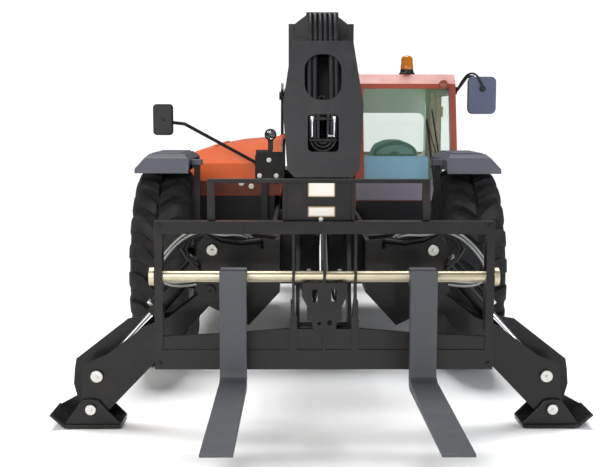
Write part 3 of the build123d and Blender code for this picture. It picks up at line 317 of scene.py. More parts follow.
# %% [markdown]
# ## Metals
# Only plated, polished and bare pieces are metal to the eye: their colour lies in the reflection. What tells them apart
# is the roughness and the marks of the making. The marks are a noise, and stretching its coordinates along one axis
# turns it into the long scratches of a drawn or turned bar.

# %% Metals
def metal(name, base, shade, roughness, stretch=(1.0, 1.0, 1.0), pitch=0.002, spread=0.12):
    """Bare or plated metal. pitch is the marks' size in metres, spread how far they change the roughness."""
    material, tree, shader, where = new_finish(name, Metallic=1.0)
    laid = add(tree, "ShaderNodeMapping", {"Scale": stretch}, {"Vector": where})
    marks = add(tree, "ShaderNodeTexNoise", {"Scale": 1 / pitch, "Detail": 4.0}, {"Vector": laid.outputs["Vector"]})
    cloud = add(tree, "ShaderNodeTexNoise", {"Scale": 12.0, "Detail": 5.0}, {"Vector": where})
    colour = add(tree, "ShaderNodeMix", {"data_type": "RGBA", MIX_FROM: srgb(shade), MIX_TO: srgb(base)},
                 {MIX_BY: cloud.outputs["Fac"]})
    tree.links.new(colour.outputs[MIXED], shader.inputs["Base Color"])
    gloss = add(tree, "ShaderNodeMapRange", {"To Min": max(0.02, roughness - spread), "To Max": roughness + spread},
                {"Value": marks.outputs["Fac"]})
    tree.links.new(gloss.outputs["Result"], shader.inputs["Roughness"])
    bump = add(tree, "ShaderNodeBump", {"Strength": 0.1, "Distance": 0.0005}, {"Height": marks.outputs["Fac"]})
    tree.links.new(bump.outputs["Normal"], shader.inputs["Normal"])
    return material


print("metal: marks and clouds over a metallic shader")

# %% [markdown]
# ## Plated, polished and woven
# The fork shaft, the screws, the ram rods, the braided hoses, the exhaust and the mirrors are the pieces that stay
# metal to the eye. Their roughness runs from 0.45 on the burnt pipe down to 0.06 on silvered glass.

# %% Plates and polish
# zinc plate on the fork shaft: yellow chromate over drawn bar, with streaks along it
zinc = metal("yellowish_zinc_plate", "c4bba3", "a89f87", 0.42, stretch=(0.05, 1, 1))
# zinc plate on screws and caps: pale, a little cloudy
bright_zinc = metal("bright_zinc_plate", "d6d5d0", "b4b3ae", 0.36)
# hard chrome on ram rods: ground and polished, it mirrors the panels as thin bright lines
chrome = metal("hard_chrome", "e4e4e6", "d2d3d6", 0.12, spread=0.04)
# woven wire on the leg hoses: a sparkle of light and dark from crossed strands
braided_steel = metal("braided_steel_hose", "a5a5a2", "77777a", 0.4, pitch=0.006)
# exhaust pipe: bare steel gone brown with heat
stack_steel = metal("heat_tinted_steel", "8d8378", "6d6259", 0.45)
# silvered glass: nearly a perfect mirror, tinted by its glass
mirror_glass = metal("silvered_mirror_glass", "b9c2cc", "aeb8c4", 0.06, spread=0.02)
print("six metals")

# %% [markdown]
# ## Moulded plastic
# Mudguards, lining and mirror shells are moulded ABS or polypropylene. The mould carries a leather grain, here a
# cell pattern of 4 mm used as relief; the colour clouds a little, as on plastic that has seen some sun.

# %% Moulded plastic
LEATHER_GRAIN = 0.004      # metres


def plastic(name, base, shade, roughness, height=0.15, level=0.35):
    """Moulded plastic with the grain of its tool; height is the strength of the relief."""
    material, tree, shader, where = new_finish(name, Specular_IOR_Level=level)
    cell = add(tree, "ShaderNodeTexVoronoi", {"Scale": 1 / LEATHER_GRAIN}, {"Vector": where})
    cloud = add(tree, "ShaderNodeTexNoise", {"Scale": 4.0, "Detail": 6.0, "Roughness": 0.65}, {"Vector": where})
    colour = add(tree, "ShaderNodeMix", {"data_type": "RGBA", MIX_FROM: srgb(shade), MIX_TO: srgb(base)},
                 {MIX_BY: cloud.outputs["Fac"]})
    tree.links.new(colour.outputs[MIXED], shader.inputs["Base Color"])
    gloss = add(tree, "ShaderNodeMapRange", {"To Min": roughness - 0.08, "To Max": roughness + 0.1},
                {"Value": cloud.outputs["Fac"]})
    tree.links.new(gloss.outputs["Result"], shader.inputs["Roughness"])
    bump = add(tree, "ShaderNodeBump", {"Strength": height, "Distance": 0.001}, {"Height": cell.outputs["Distance"]})
    tree.links.new(bump.outputs["Normal"], shader.inputs["Normal"])
    return material


print("plastic: grain every", LEATHER_GRAIN * 1000, "mm")

# %% [markdown]
# ## Plastics of the cab and the mudguards
# The mouldings differ in colour more than in surface. The lining is matt so that it doesn't glare in the driver's eyes,
# the shells and consoles are a little smoother, and printed vinyl has almost no relief.

# %% Plastics
# polypropylene mudguard: purplish grey that scatters light and hides scratches
fender_grey = plastic("grey_moulded_fender", "54555f", "4a4b54", 0.5)
# black ABS of consoles and handles: even, with a faint sheen
cab_black = plastic("black_moulded_plastic", "1e1f23", "17181b", 0.45, level=0.3)
# mirror shell: smooth blue-grey ABS
mirror_shell = plastic("blue_grey_mirror_shell", "565d74", "4b5166", 0.42)
# roof and rear lining: pale felt-like foam skin, quite matt
lining_grey = plastic("pale_grey_cab_lining", "dedbd2", "cfccc3", 0.7)
# blue panel and dashboard hood: it reads blue even through green glass
lining_blue = plastic("blue_grey_cab_panel", "a2c2f0", "92b3e0", 0.55)
# cowl at the foot of the screen: mauve-grey, softly shiny
cowl_grey = plastic("mauve_grey_cowl", "8b8591", "7d7783", 0.5)
# frame of a plate: beige print with almost no relief
plate_frame = plastic("beige_plate_frame", "a08a6c", "917c5f", 0.5, height=0.03)
# face of a plate: blank off-white vinyl, smooth
label_white = plastic("blank_label_vinyl", "cfccc4", "c0bdb4", 0.4, height=0.03)
print("eight plastics")

# %% [markdown]
# ## Glass and lenses
# Lenses are solid polycarbonate: light bends in them, so they use real transmission. A window pane is so thin that it
# bends nothing. It is drawn as a green veil that is almost open, because lamps shine through a veil and light the
# cab's lining, while a refracting pane would leave the inside dark.

# %% Glass and lenses
def clear(name, tint, roughness=0.0, transmission=1.0, alpha=1.0, glow=0.0):
    """Glass or lens plastic: tint in the body, wiping marks in its gloss, and glow as a painted light in the tint."""
    material, tree, shader, where = new_finish(
        name, Base_Color=srgb(tint), Transmission_Weight=transmission, IOR=1.5, Alpha=alpha,
        Emission_Color=srgb(tint if glow else "ffffff"), Emission_Strength=glow)
    wipe = add(tree, "ShaderNodeTexNoise", {"Scale": 7.0, "Detail": 3.0}, {"Vector": where})
    haze = add(tree, "ShaderNodeMapRange", {"From Min": 0.5, "From Max": 0.8, "To Min": roughness,
                                             "To Max": roughness + 0.05}, {"Value": wipe.outputs["Fac"]})
    tree.links.new(haze.outputs["Result"], shader.inputs["Roughness"])
    return material


# laminated pane: a breath of green, with sharp reflections of the panels
window_glass = clear("green_tinted_window_glass", "a3e6c0", transmission=0.0, alpha=0.12)
# lamp lens: clear, with a slight haze from washing
lens_clear = clear("clear_lamp_lens", "f2f4f4", 0.06)
# beacon cap: thick amber with a faint painted glow, an emission standing in for daylight caught in the cap
amber_lens_painted_glow = clear("amber_lens_with_painted_glow", "e8861c", 0.15, transmission=0.45, glow=0.08)
# tail lens: deep red, half clear
lens_red = clear("red_tail_lens", "b8180f", 0.1, transmission=0.4)
print("one pane and three lenses")

# %% [markdown]
# ## Seat cloth
# The seat's cover is a plain weave. Threads of 0.5 mm would vanish from this far, so two crossed waves draw them about
# 3 mm wide, and their product makes each crossing stand out. A little sheen stands for the nap of the yarn.

# %% Seat cloth
THREADS = 100.0      # wave scale: one band is 2 pi / 20 / scale, here 3 mm
seat_cloth, tree, shader, where = new_finish("blue_grey_seat_cloth", Roughness=0.85, Sheen_Weight=0.3)
warp, weft = (add(tree, "ShaderNodeTexWave", {"Scale": THREADS, "bands_direction": way}, {"Vector": where})
              for way in ("X", "Z"))
cross = add(tree, "ShaderNodeMath", {"operation": "MULTIPLY"}, {0: warp.outputs["Fac"], 1: weft.outputs["Fac"]})
weave = add(tree, "ShaderNodeMix", {"data_type": "RGBA", MIX_FROM: srgb("6c7d88"), MIX_TO: srgb("8799a4")},
            {MIX_BY: cross.outputs[0]})
tree.links.new(weave.outputs[MIXED], shader.inputs["Base Color"])
bump = add(tree, "ShaderNodeBump", {"Strength": 0.4, "Distance": 0.001}, {"Height": cross.outputs[0]})
tree.links.new(bump.outputs["Normal"], shader.inputs["Normal"])
print("cloth with a band every", round(1000 * 2 * math.pi / 20 / THREADS, 1), "mm")

# %% [markdown]
# ## Dressing the solids
# A cut and welded plate never has a razor edge, and a corner without a bevel catches no light. The solids come as loose
# triangles. Their meshes could be edited, but the machine's joints and checks rest on them, so modifiers only dress
# them: one welds the triangles, one joins flat faces, one smooths what is nearly flat and one breaks every corner.

# %% Smoothing tree
CREASE = math.radians(28)      # faces that meet at more than this keep a sharp edge
shading_tree = bpy.data.node_groups.new("smooth_below_an_angle", "GeometryNodeTree")
for way in ("INPUT", "OUTPUT"):
    shading_tree.interface.new_socket("Geometry", in_out=way, socket_type="NodeSocketGeometry")
entry = add(shading_tree, "NodeGroupInput")
round_all = add(shading_tree, "GeometryNodeSetShadeSmooth", {"Shade Smooth": True}, {"Geometry": entry.outputs[0]})
turn_at = add(shading_tree, "GeometryNodeInputMeshEdgeAngle")
sharp = add(shading_tree, "FunctionNodeCompare", {"operation": "GREATER_THAN", 1: CREASE},
            {0: turn_at.outputs["Unsigned Angle"]})
crease = add(shading_tree, "GeometryNodeSetShadeSmooth", {"domain": "EDGE", "Shade Smooth": False},
             {"Geometry": round_all.outputs[0], "Selection": sharp.outputs[0]})
add(shading_tree, "NodeGroupOutput", None, {0: crease.outputs[0]})
print(shading_tree.name, "keeps edges sharp above", round(math.degrees(CREASE)), "degrees")

# %% [markdown]
# ## The stack of modifiers
# The order matters. Welding comes first, since loose triangles have no shared edges to break. Flat faces are joined
# before the bevel, or it would follow every triangle's diagonal. The last modifier weights the normals by face area,
# which keeps a big flat plate flat right up to its narrow bevel.

# %% Broken edges and finish of a solid
def break_edges(made, width, segments):
    """Bevel on every edge that turns by more than the crease angle; width in metres."""
    edges = made.modifiers.new("edges", "BEVEL")
    edges.width, edges.segments, edges.limit_method, edges.angle_limit = width, segments, "ANGLE", CREASE


def dress(node, material, edge):
    """Finish and broken edges for one of the machine's solids."""
    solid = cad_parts[node]
    solid.data.materials.clear()
    solid.data.materials.append(material)
    solid.modifiers.new("weld", "WELD").merge_threshold = 0.00002
    flat = solid.modifiers.new("flat_faces", "DECIMATE")
    flat.decimate_type, flat.angle_limit = "DISSOLVE", math.radians(0.5)
    solid.modifiers.new("shading", "NODES").node_group = shading_tree
    if edge:
        break_edges(solid, edge, 2)
        solid.modifiers.new("even_normals", "WEIGHTED_NORMAL").keep_sharp = True


print("helpers: break_edges, dress")

# %% [markdown]
# ## Finishes of the solids
# How wide an edge is broken says how a part was made: 3 to 5 mm on cut and welded plate, 6 mm on folded tube, 12 mm and
# more on pressed sheet, castings and mouldings. Glass keeps its sharp edge, hidden in its seal.

# %% Paint on the solids
# finish, edge in metres, solids that share them; {} stands for left and right, [] for front and rear
FINISHES = (
    (frame_black, 0.003, "chassis_frame cab_step"), (frame_black, 0.004, "engine_pod knuckle_[]_{}"),
    (frame_black, 0.006, "axles"), (frame_black, 0.012, "counterweight"),
    (black_steel, 0.003, "stabiliser_mounts lift_barrel tilt_barrel stabiliser_barrel_{}"),
    (black_steel, 0.005, "carriage backrest stabiliser_leg_{} stabiliser_foot_{}"),
    (boom_black, 0.006, "boom_outer boom_middle boom_inner"), (charcoal, 0.004, "boom_head"),
    (cab_orange, 0.012, "cab_shell"), (cab_orange, 0.006, "door"), (orange, 0.012, "hood"),
    (fork_grey, 0.005, "fork_{}"), (rim_grey, 0.004, "rim_[]_{}"), (engine_grey, 0.02, "engine"),
    (tyre_rubber, 0.01, "tyre_[]_{}"), (fender_grey, 0.005, "fender_{}"),
    (chrome, 0.002, "lift_rod tilt_rod stabiliser_rod_{}"), (zinc, 0.003, "fork_shaft"),
    (stack_steel, 0.003, "exhaust"),
    (cab_black, 0.02, "fuel_tank"), (cab_black, 0.006, "dashboard mirrors"), (cab_black, 0.004, "lamps"),
    (window_glass, 0, "cab_glass door_glass"), (seat_cloth, 0.03, "seat"))
dressed = set()
for material, edge, names in FINISHES:
    for name in names.split():
        for node in sorted({name.replace("{}", hand).replace("[]", end) for hand, _ in SIDES for end in ENDS}):
            dress(node, material, edge)
            dressed.add(node)
print(len(dressed), "solids dressed of", len(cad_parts))

# %% [markdown]
# ## Making pieces
# The pieces that follow are drawn in the machine's own measures: millimetres from the middle, from the front axle and
# from the ground. Objects could be placed by hand, but then every dimension would hide in a mouse move. Instead one
# helper turns such a point into the scene's metres, and another makes an object that rides on a body of the machine.

# %% Measures and pieces
def at(x, y, z):
    """Scene point in metres from millimetres: across, behind the front axle, above the ground."""
    return Vector((x / 1000, y / 1000 + AXLE_Y, z / 1000))


def piece(name, bm, material, body, bevel=0.0, segments=2, smooth=30):
    """Object from a bmesh, riding on a body. bevel is in metres, smooth is the angle up to which faces blend."""
    bmesh.ops.remove_doubles(bm, verts=bm.verts, dist=0.00001)
    bmesh.ops.recalc_face_normals(bm, faces=bm.faces)
    for face in bm.faces:
        face.smooth = True
    for edge in bm.edges:
        edge.smooth = edge.is_manifold and edge.calc_face_angle(0) < math.radians(smooth)
    mesh = bpy.data.meshes.new(name)
    bm.to_mesh(mesh)
    bm.free()
    made = bpy.data.objects.new(name, mesh)
    bpy.context.scene.collection.objects.link(made)
    mesh.materials.append(material)
    if bevel:
        break_edges(made, bevel, segments)
    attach(made, body)
    print(" ", name, "rides on", body, "with", len(mesh.polygons), "faces")
    return made


# %% [markdown]
# ## Cutting
# Most parts of a machine are cut from plate. The helper does what a cutting torch does: it draws a flat outline out
# along an axis. Cubes could be scaled and joined instead, but an outline gives slopes and rounded corners in one go.

# %% Plates and blocks
def on_axis(axis, pair, depth):
    """Scene point from two coordinates of an outline and its depth along the axis that is left over."""
    a, b = pair
    return {"x": at(depth, a, b), "y": at(a, depth, b), "z": at(a, b, depth)}[axis]


def drawn(bm, outline, axis, start, stop):
    """Adds a flat outline drawn out along an axis. The outline's pairs are the other two axes, in order."""
    rings = [[bm.verts.new(on_axis(axis, pair, depth)) for pair in outline] for depth in (start, stop)]
    bm.faces.new(rings[0])
    bm.faces.new(rings[1])
    for i in range(len(outline)):
        j = (i + 1) % len(outline)
        bm.faces.new((rings[0][i], rings[0][j], rings[1][j], rings[1][i]))


def block(bm, x, y, z):
    """Adds a box from its three pairs of limits."""
    drawn(bm, ((x[0], y[0]), (x[1], y[0]), (x[1], y[1]), (x[0], y[1])), "z", *z)


print("helpers: on_axis, drawn, block")

# %% [markdown]
# ## Turning
# A lathe's work is a profile swept round an axis: pin caps, lamps, fittings, tyres. Blender's spin tool needs a
# viewport or a careful context, while a few lines that place ring after ring of points work everywhere and can close
# both ends.

# %% Turned shapes and bars
def turned(bm, profile, centre, direction, steps=32):
    """Adds a closed turned shape: profile pairs are distance along the axis and radius, in mm."""
    direction = Vector(direction).normalized()
    side = direction.orthogonal().normalized()
    up = direction.cross(side)
    circle = [2 * math.pi * i / steps for i in range(steps)]
    rings = [[bm.verts.new(centre + (direction * along + (side * math.cos(a) + up * math.sin(a)) * radius) / 1000)
              for a in circle] for along, radius in profile]
    for a, b in zip(rings, rings[1:]):
        for i in range(steps):
            j = (i + 1) % steps
            bm.faces.new((a[i], a[j], b[j], b[i]))
    bm.faces.new(rings[0])
    bm.faces.new(rings[-1])


def bar(bm, start, stop, radius, steps=12):
    """Adds a round bar between two points in metres, radius in mm."""
    span = stop - start
    turned(bm, ((0, radius), (span.length * 1000, radius)), start, span, steps)


print("helpers: turned, bar")

# %% [markdown]
# ## What repeats
# Hose guards, screws and tyre blocks repeat hundreds of times. Copies made by hand would be slow to change, so a
# geometry tree makes each kind from a few named sizes. A tree's result is turned into a plain mesh at the end, because
# instances are lost when the machine leaves Blender.

# %% Opening and ending a tree
FLOAT, WHOLE, PAINT = "NodeSocketFloat", "NodeSocketInt", "NodeSocketMaterial"


def new_tree(name, sockets):
    """Geometry tree with named inputs after its geometry."""
    tree = bpy.data.node_groups.new(name, "GeometryNodeTree")
    tree.interface.new_socket("Geometry", in_out="INPUT", socket_type="NodeSocketGeometry")
    for label, kind in sockets:
        tree.interface.new_socket(label, in_out="INPUT", socket_type=kind)
    tree.interface.new_socket("Geometry", in_out="OUTPUT", socket_type="NodeSocketGeometry")
    return tree, add(tree, "NodeGroupInput")


def end_tree(tree, entry, result):
    """Ends a tree: instances become real faces and take the finish."""
    whole = add(tree, "GeometryNodeRealizeInstances", None, {0: result})
    painted = add(tree, "GeometryNodeSetMaterial", None,
                  {"Geometry": whole.outputs[0], "Material": entry.outputs["Finish"]})
    add(tree, "NodeGroupOutput", None, {0: painted.outputs[0]})
    print("tree", tree.name, "with", len(tree.nodes), "nodes")


print("helpers: new_tree, end_tree")

# %% [markdown]
# ## From tree to mesh
# A tree runs as a modifier. Its inputs are set before the object is first evaluated, by the identifier that Blender
# gave each socket, and the evaluated result is then copied into a mesh of its own. The object that carried the tree is
# thrown away.

# %% What grows from a tree
def grown(name, source, tree, values, material, body):
    """Runs a tree on an object, keeps the result as a plain mesh that rides on a body."""
    start = bpy.data.objects.new(name + "_start", source)
    bpy.context.scene.collection.objects.link(start)
    modifier = start.modifiers.new("tree", "NODES")
    modifier.node_group = tree
    named = {item.name: item.identifier for item in tree.interface.items_tree if item.in_out == "INPUT"}
    for label, value in {**values, "Finish": material}.items():
        modifier[named[label]] = value
    bpy.context.view_layer.update()
    ready = start.evaluated_get(bpy.context.evaluated_depsgraph_get())
    mesh = bpy.data.meshes.new_from_object(ready)
    bpy.data.objects.remove(start)
    made = bpy.data.objects.new(name, mesh)
    bpy.context.scene.collection.objects.link(made)
    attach(made, body)
    print(" ", name, "grown on", body, "with", len(mesh.polygons), "faces")
    return made


print("helper: grown")

# %% [markdown]
# ## Ribbed hoses
# A hydraulic hose is a rubber tube, often inside a spiral guard against wear. Modelling the spiral would cost many
# faces, so the tree cheats as the eye does: it sweeps a circle along the route and lets its radius swell and shrink
# with a cosine, which gives even ribs at the guard's pitch.

# %% Ribbed hose tree
SAMPLES_PER_RIB, HOSE_SIDES = 4.0, 10
hose_tree, entry = new_tree("ribbed_hose", (("Radius", FLOAT), ("Rib pitch", FLOAT), ("Rib height", FLOAT),
                                            ("Finish", PAINT)))
quarter = add(hose_tree, "ShaderNodeMath", {"operation": "DIVIDE", 1: SAMPLES_PER_RIB},
              {0: entry.outputs["Rib pitch"]})
even = add(hose_tree, "GeometryNodeResampleCurve", {"mode": "LENGTH"},
           {"Curve": entry.outputs["Geometry"], "Length": quarter.outputs[0]})
along = add(hose_tree, "GeometryNodeSplineParameter")
turns = add(hose_tree, "ShaderNodeMath", {"operation": "DIVIDE"},
            {0: along.outputs["Length"], 1: entry.outputs["Rib pitch"]})
angle = add(hose_tree, "ShaderNodeMath", {"operation": "MULTIPLY", 1: 2 * math.pi}, {0: turns.outputs[0]})
wave = add(hose_tree, "ShaderNodeMath", {"operation": "COSINE"}, {0: angle.outputs[0]})
swell = add(hose_tree, "ShaderNodeMath", {"operation": "MULTIPLY_ADD"},
            {0: wave.outputs[0], 1: entry.outputs["Rib height"], 2: entry.outputs["Radius"]})
sized = add(hose_tree, "GeometryNodeSetCurveRadius", None, {"Curve": even.outputs[0], "Radius": swell.outputs[0]})
circle = add(hose_tree, "GeometryNodeCurvePrimitiveCircle", {"Resolution": HOSE_SIDES, "Radius": 1.0})
thick = add(hose_tree, "GeometryNodeInputRadius")
tube = add(hose_tree, "GeometryNodeCurveToMesh", {"Fill Caps": True},
           {"Curve": sized.outputs[0], "Profile Curve": circle.outputs[0], "Scale": thick.outputs[0]})
soft = add(hose_tree, "GeometryNodeSetShadeSmooth", {"Shade Smooth": True}, {"Geometry": tube.outputs[0]})
end_tree(hose_tree, entry, soft.outputs[0])

# %% [markdown]
# ## Routes
# A hose can't take a sharp corner, so its route is a curve of third order that is pulled towards a few points and
# starts and ends on the outer ones. Where a hose is clamped flat against plates, its route is a chain of straight runs.

# %% Hoses
def hose(name, routes, radius, body, material=hose_rubber, *, pitch, rib, straight=False):
    """Fixed hoses along routes of points in mm, all in one piece. pitch and rib are the guard's spacing and height;
    straight keeps the runs between points straight."""
    curve = bpy.data.curves.new(name, "CURVE")
    curve.dimensions = "3D"
    curve.resolution_u = 12
    for route in routes:
        spline = curve.splines.new("POLY" if straight else "NURBS")
        spline.points.add(len(route) - 1)
        for knot, place in zip(spline.points, route):
            knot.co = (*at(*place), 1)
        if not straight:
            spline.order_u = 3
            spline.use_endpoint_u = True
    sizes = {"Radius": radius / 1000, "Rib pitch": pitch / 1000, "Rib height": rib / 1000}
    return grown(name, curve, hose_tree, sizes, material, body)


print("helper: hose")

# %% [markdown]
# ## Screws
# A flanged screw is a hexagon on a thin disc. One screw is built inside the tree from its width across flats and its
# height, and the tree sets a copy on every point of a list, turned to the direction that the point carries.

# %% Screw head tree
# shares of the width across flats: corner radius of the hexagon, radius of the flange; of the height: flange, seat
CORNER, FLANGE, FLANGE_HIGH, SEAT = 0.577, 0.72, 0.22, 0.6
screw_tree, entry = new_tree("screw_heads", (("Across", FLOAT), ("Height", FLOAT), ("Finish", PAINT)))
corner, flange, thin, half = (
    add(screw_tree, "ShaderNodeMath", {"operation": "MULTIPLY", 1: share}, {0: entry.outputs[size]}).outputs[0]
    for share, size in ((CORNER, "Across"), (FLANGE, "Across"), (FLANGE_HIGH, "Height"), (SEAT, "Height")))
head = add(screw_tree, "GeometryNodeMeshCylinder", {"Vertices": 6},
           {"Radius": corner, "Depth": entry.outputs["Height"]})
washer = add(screw_tree, "GeometryNodeMeshCylinder", {"Vertices": 18}, {"Radius": flange, "Depth": thin})
rise = add(screw_tree, "ShaderNodeCombineXYZ", None, {"Z": half})
lifted = add(screw_tree, "GeometryNodeTransform", None,
             {"Geometry": head.outputs["Mesh"], "Translation": rise.outputs[0]})
screw = add(screw_tree, "GeometryNodeJoinGeometry")
screw_tree.links.new(lifted.outputs[0], screw.inputs[0])
screw_tree.links.new(washer.outputs["Mesh"], screw.inputs[0])
facing = add(screw_tree, "GeometryNodeInputNamedAttribute", {"data_type": "FLOAT_VECTOR", "Name": "facing"})
aligned = add(screw_tree, "FunctionNodeAlignEulerToVector", {"axis": "Z"}, {"Vector": facing.outputs[0]})
placed = add(screw_tree, "GeometryNodeInstanceOnPoints", None,
             {"Points": entry.outputs["Geometry"], "Instance": screw.outputs[0], "Rotation": aligned.outputs[0]})
end_tree(screw_tree, entry, placed.outputs[0])

# %% [markdown]
# ## Placing screws
# A mesh without edges or faces is a plain list of points, which is all that the tree needs. Each point carries the
# direction that its screw faces, stored as an attribute, so one list can be turned without turning any object.

# %% Screws
def screws(name, places, facing, across, body, material=bright_zinc):
    """Screw heads at points in mm, all looking one way; across is the width over the flats."""
    mesh = bpy.data.meshes.new(name)
    mesh.from_pydata([at(*place) for place in places], [], [])
    look = mesh.attributes.new("facing", "FLOAT_VECTOR", "POINT")
    for item in look.data:
        item.vector = facing
    sizes = {"Across": across / 1000, "Height": across * 0.6 / 1000}
    return grown(name, mesh, screw_tree, sizes, material, body)


print("helper: screws")

# %% [markdown]
# ## Tyres
# The tyres are for rough ground. A rounded casing carries two rows of slanted rubber blocks that start near the middle,
# run outwards and bend down over the shoulder. The tread could be carved from a thick ring, but every pair of blocks is
# the same and only its angle changes, so one pair is drawn from listed sections and a tree repeats it round the wheel.

# %% Tread tree
tread_tree, entry = new_tree("tread_round_the_wheel", (("Pairs", WHOLE), ("Finish", PAINT)))
spots = add(tread_tree, "GeometryNodePoints", None, {"Count": entry.outputs["Pairs"]})
number = add(tread_tree, "GeometryNodeInputIndex")
share = add(tread_tree, "ShaderNodeMath", {"operation": "DIVIDE"},
            {0: number.outputs[0], 1: entry.outputs["Pairs"]})
turn = add(tread_tree, "ShaderNodeMath", {"operation": "MULTIPLY", 1: 2 * math.pi}, {0: share.outputs[0]})
spin = add(tread_tree, "ShaderNodeCombineXYZ", None, {"X": turn.outputs[0]})
around = add(tread_tree, "GeometryNodeInstanceOnPoints", None,
             {"Points": spots.outputs[0], "Instance": entry.outputs["Geometry"], "Rotation": spin.outputs[0]})
end_tree(tread_tree, entry, around.outputs[0])

# %% [markdown]
# ## One pair of blocks
# A block is a bar that changes along its length: it starts near the tyre's middle, advances round the tyre as it runs
# outwards, and narrows as it bends down the wall. Its foot is wider than its top and sinks into the casing, so no gap
# can open between them. The block on the other side sits half a pitch later.

# %% One pair of blocks
PAIRS = 22
DRAWN_WIDTH, DRAWN_RADIUS = 0.38, 0.7      # metres; the tyre for which the blocks below are drawn
ROOT, FLARE = 4, 9                         # mm that a block's foot sinks into the casing and spreads on each side
# along the block: distance from the middle, advance round the tyre, top radius, half width, casing radius
BLOCK = ((10, 0, 700, 44, 655), (48, 40, 700, 50, 656), (92, 84, 700, 54, 656), (134, 102, 698, 52, 650),
         (160, 106, 682, 50, 632), (178, 108, 648, 46, 606), (188, 110, 600, 40, 582), (188, 110, 560, 34, 548))


def block_pair(tyre_width, tyre_radius):
    """Two blocks, half a pitch apart, about the wheel's axle line, in metres."""
    bm = bmesh.new()
    for side, phase in ((1, 0.0), (-1, math.pi / PAIRS)):
        rings = []
        for out, advance, top, half, low in BLOCK:
            ring = []
            for radius, wide in ((low - ROOT, half + FLARE), (top, half), (top, -half), (low - ROOT, -half - FLARE)):
                turn_by = phase + (advance + wide) / (DRAWN_RADIUS * 1000)
                ring.append(bm.verts.new((side * out * tyre_width / DRAWN_WIDTH / 1000,
                                          -radius * tyre_radius / DRAWN_RADIUS / 1000 * math.cos(turn_by),
                                          radius * tyre_radius / DRAWN_RADIUS / 1000 * math.sin(turn_by))))
            rings.append(ring)
        for a, b in zip(rings, rings[1:]):
            for i in range(3):
                bm.faces.new((a[i], a[i + 1], b[i + 1], b[i]))
        bm.faces.new(rings[0])
        bm.faces.new(rings[-1])
    bmesh.ops.recalc_face_normals(bm, faces=bm.faces)
    return bm


print(PAIRS, "pairs of blocks, one every", round(2 * math.pi * DRAWN_RADIUS * 1000 / PAIRS), "mm")

# %% [markdown]
# ## Casing
# The casing under the blocks is a turned section: stiff beads at the rim, a bulging wall, a rounded shoulder and a
# nearly flat crown. It is open towards the rim, where nobody sees it, so its two end faces are taken off again.

# %% Casing and finished tyres
# casing section: distance from the middle, radius
CASING = ((150, 320.5), (166, 334), (180, 380), (187, 450), (189, 520), (184, 575), (174, 618), (156, 645),
          (110, 657), (0, 661))
SECTION = [(-out, radius) for out, radius in CASING] + [(out, radius) for out, radius in reversed(CASING[:-1])]


def add_casing(bm, hub):
    """Adds the turned casing without its end faces."""
    casing = bmesh.new()
    turned(casing, SECTION, hub, (1, 0, 0), 96)
    ends = [face for face in casing.faces if len(face.verts) > 4]
    bmesh.ops.delete(casing, geom=ends, context="FACES_ONLY")
    keep = bpy.data.meshes.new("casing")
    casing.to_mesh(keep)
    casing.free()
    bm.from_mesh(keep)
    bpy.data.meshes.remove(keep)


for hand, side in SIDES:
    for end in ENDS:
        node, wheel = f"tyre_{end}_{hand}", f"wheel_{end}_{hand}"
        (low, high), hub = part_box(node), middle(node)
        pair = bpy.data.meshes.new(node + "_pair")
        bm = block_pair(high[0] - low[0], (high[2] - low[2]) / 2)
        bm.to_mesh(pair)
        bm.free()
        blocks = grown(f"tread_blocks_{end}_{hand}", pair, tread_tree, {"Pairs": PAIRS}, tyre_rubber, wheel)
        bm = bmesh.new()
        bm.from_mesh(blocks.data)
        bpy.data.objects.remove(blocks)
        for vertex in bm.verts:
            vertex.co += hub
        add_casing(bm, hub)
        tyre = piece(f"{node}_rubber", bm, tyre_rubber, wheel, bevel=0.004, smooth=35)
        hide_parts(node)

# %% [markdown]
# ## Wheel nuts
# Ten flanged nuts hold each rim on its hub. They sit on a circle inside the dish of the rim, and the screw tree can
# place them, because from outside a nut and a screw head look the same.

# %% Wheel nuts
NUTS, NUT_CIRCLE, NUT_OUT, NUT_ACROSS = 10, 172, 52, 32      # count, then mm
for hand, side in SIDES:
    for end in ENDS:
        hub = middle(f"tyre_{end}_{hand}")
        ring = [(hub.x * 1000 + side * NUT_OUT, (hub.y - AXLE_Y) * 1000 + NUT_CIRCLE * math.cos(a),
                 hub.z * 1000 + NUT_CIRCLE * math.sin(a)) for a in (2 * math.pi * i / NUTS for i in range(NUTS))]
        screws(f"wheel_nuts_{end}_{hand}", ring, (side, 0, 0), NUT_ACROSS, f"wheel_{end}_{hand}")

# %% [markdown]
# ## Rings and rounded outlines
# Linings, seals and bezels are flat rings. A hole could be cut with a boolean, which leaves long thin faces. Here a
# ring is two loops with the same number of points, joined all round, so every face is a clean strip.

# %% Rounded outlines and rings
def round_rect(x, z, corner, steps=6):
    """Loop of points round a rectangle with rounded corners."""
    points = []
    for cx, cz, first in ((x[1] - corner, z[1] - corner, 0), (x[0] + corner, z[1] - corner, 90),
                          (x[0] + corner, z[0] + corner, 180), (x[1] - corner, z[0] + corner, 270)):
        for i in range(steps + 1):
            a = math.radians(first + 90 * i / steps)
            points.append((cx + corner * math.cos(a), cz + corner * math.sin(a)))
    return points


def ring_plate(bm, outer, inner, axis, start, stop):
    """Adds a flat ring between two loops, drawn out along an axis."""
    loops = [[bm.verts.new(on_axis(axis, pair, depth)) for pair in loop]
             for depth in (start, stop) for loop in (outer, inner)]
    n = len(outer)
    for i in range(n):
        j = (i + 1) % n
        for a, b in ((0, 1), (2, 3), (0, 2), (1, 3)):
            bm.faces.new((loops[a][i], loops[a][j], loops[b][j], loops[b][i]))


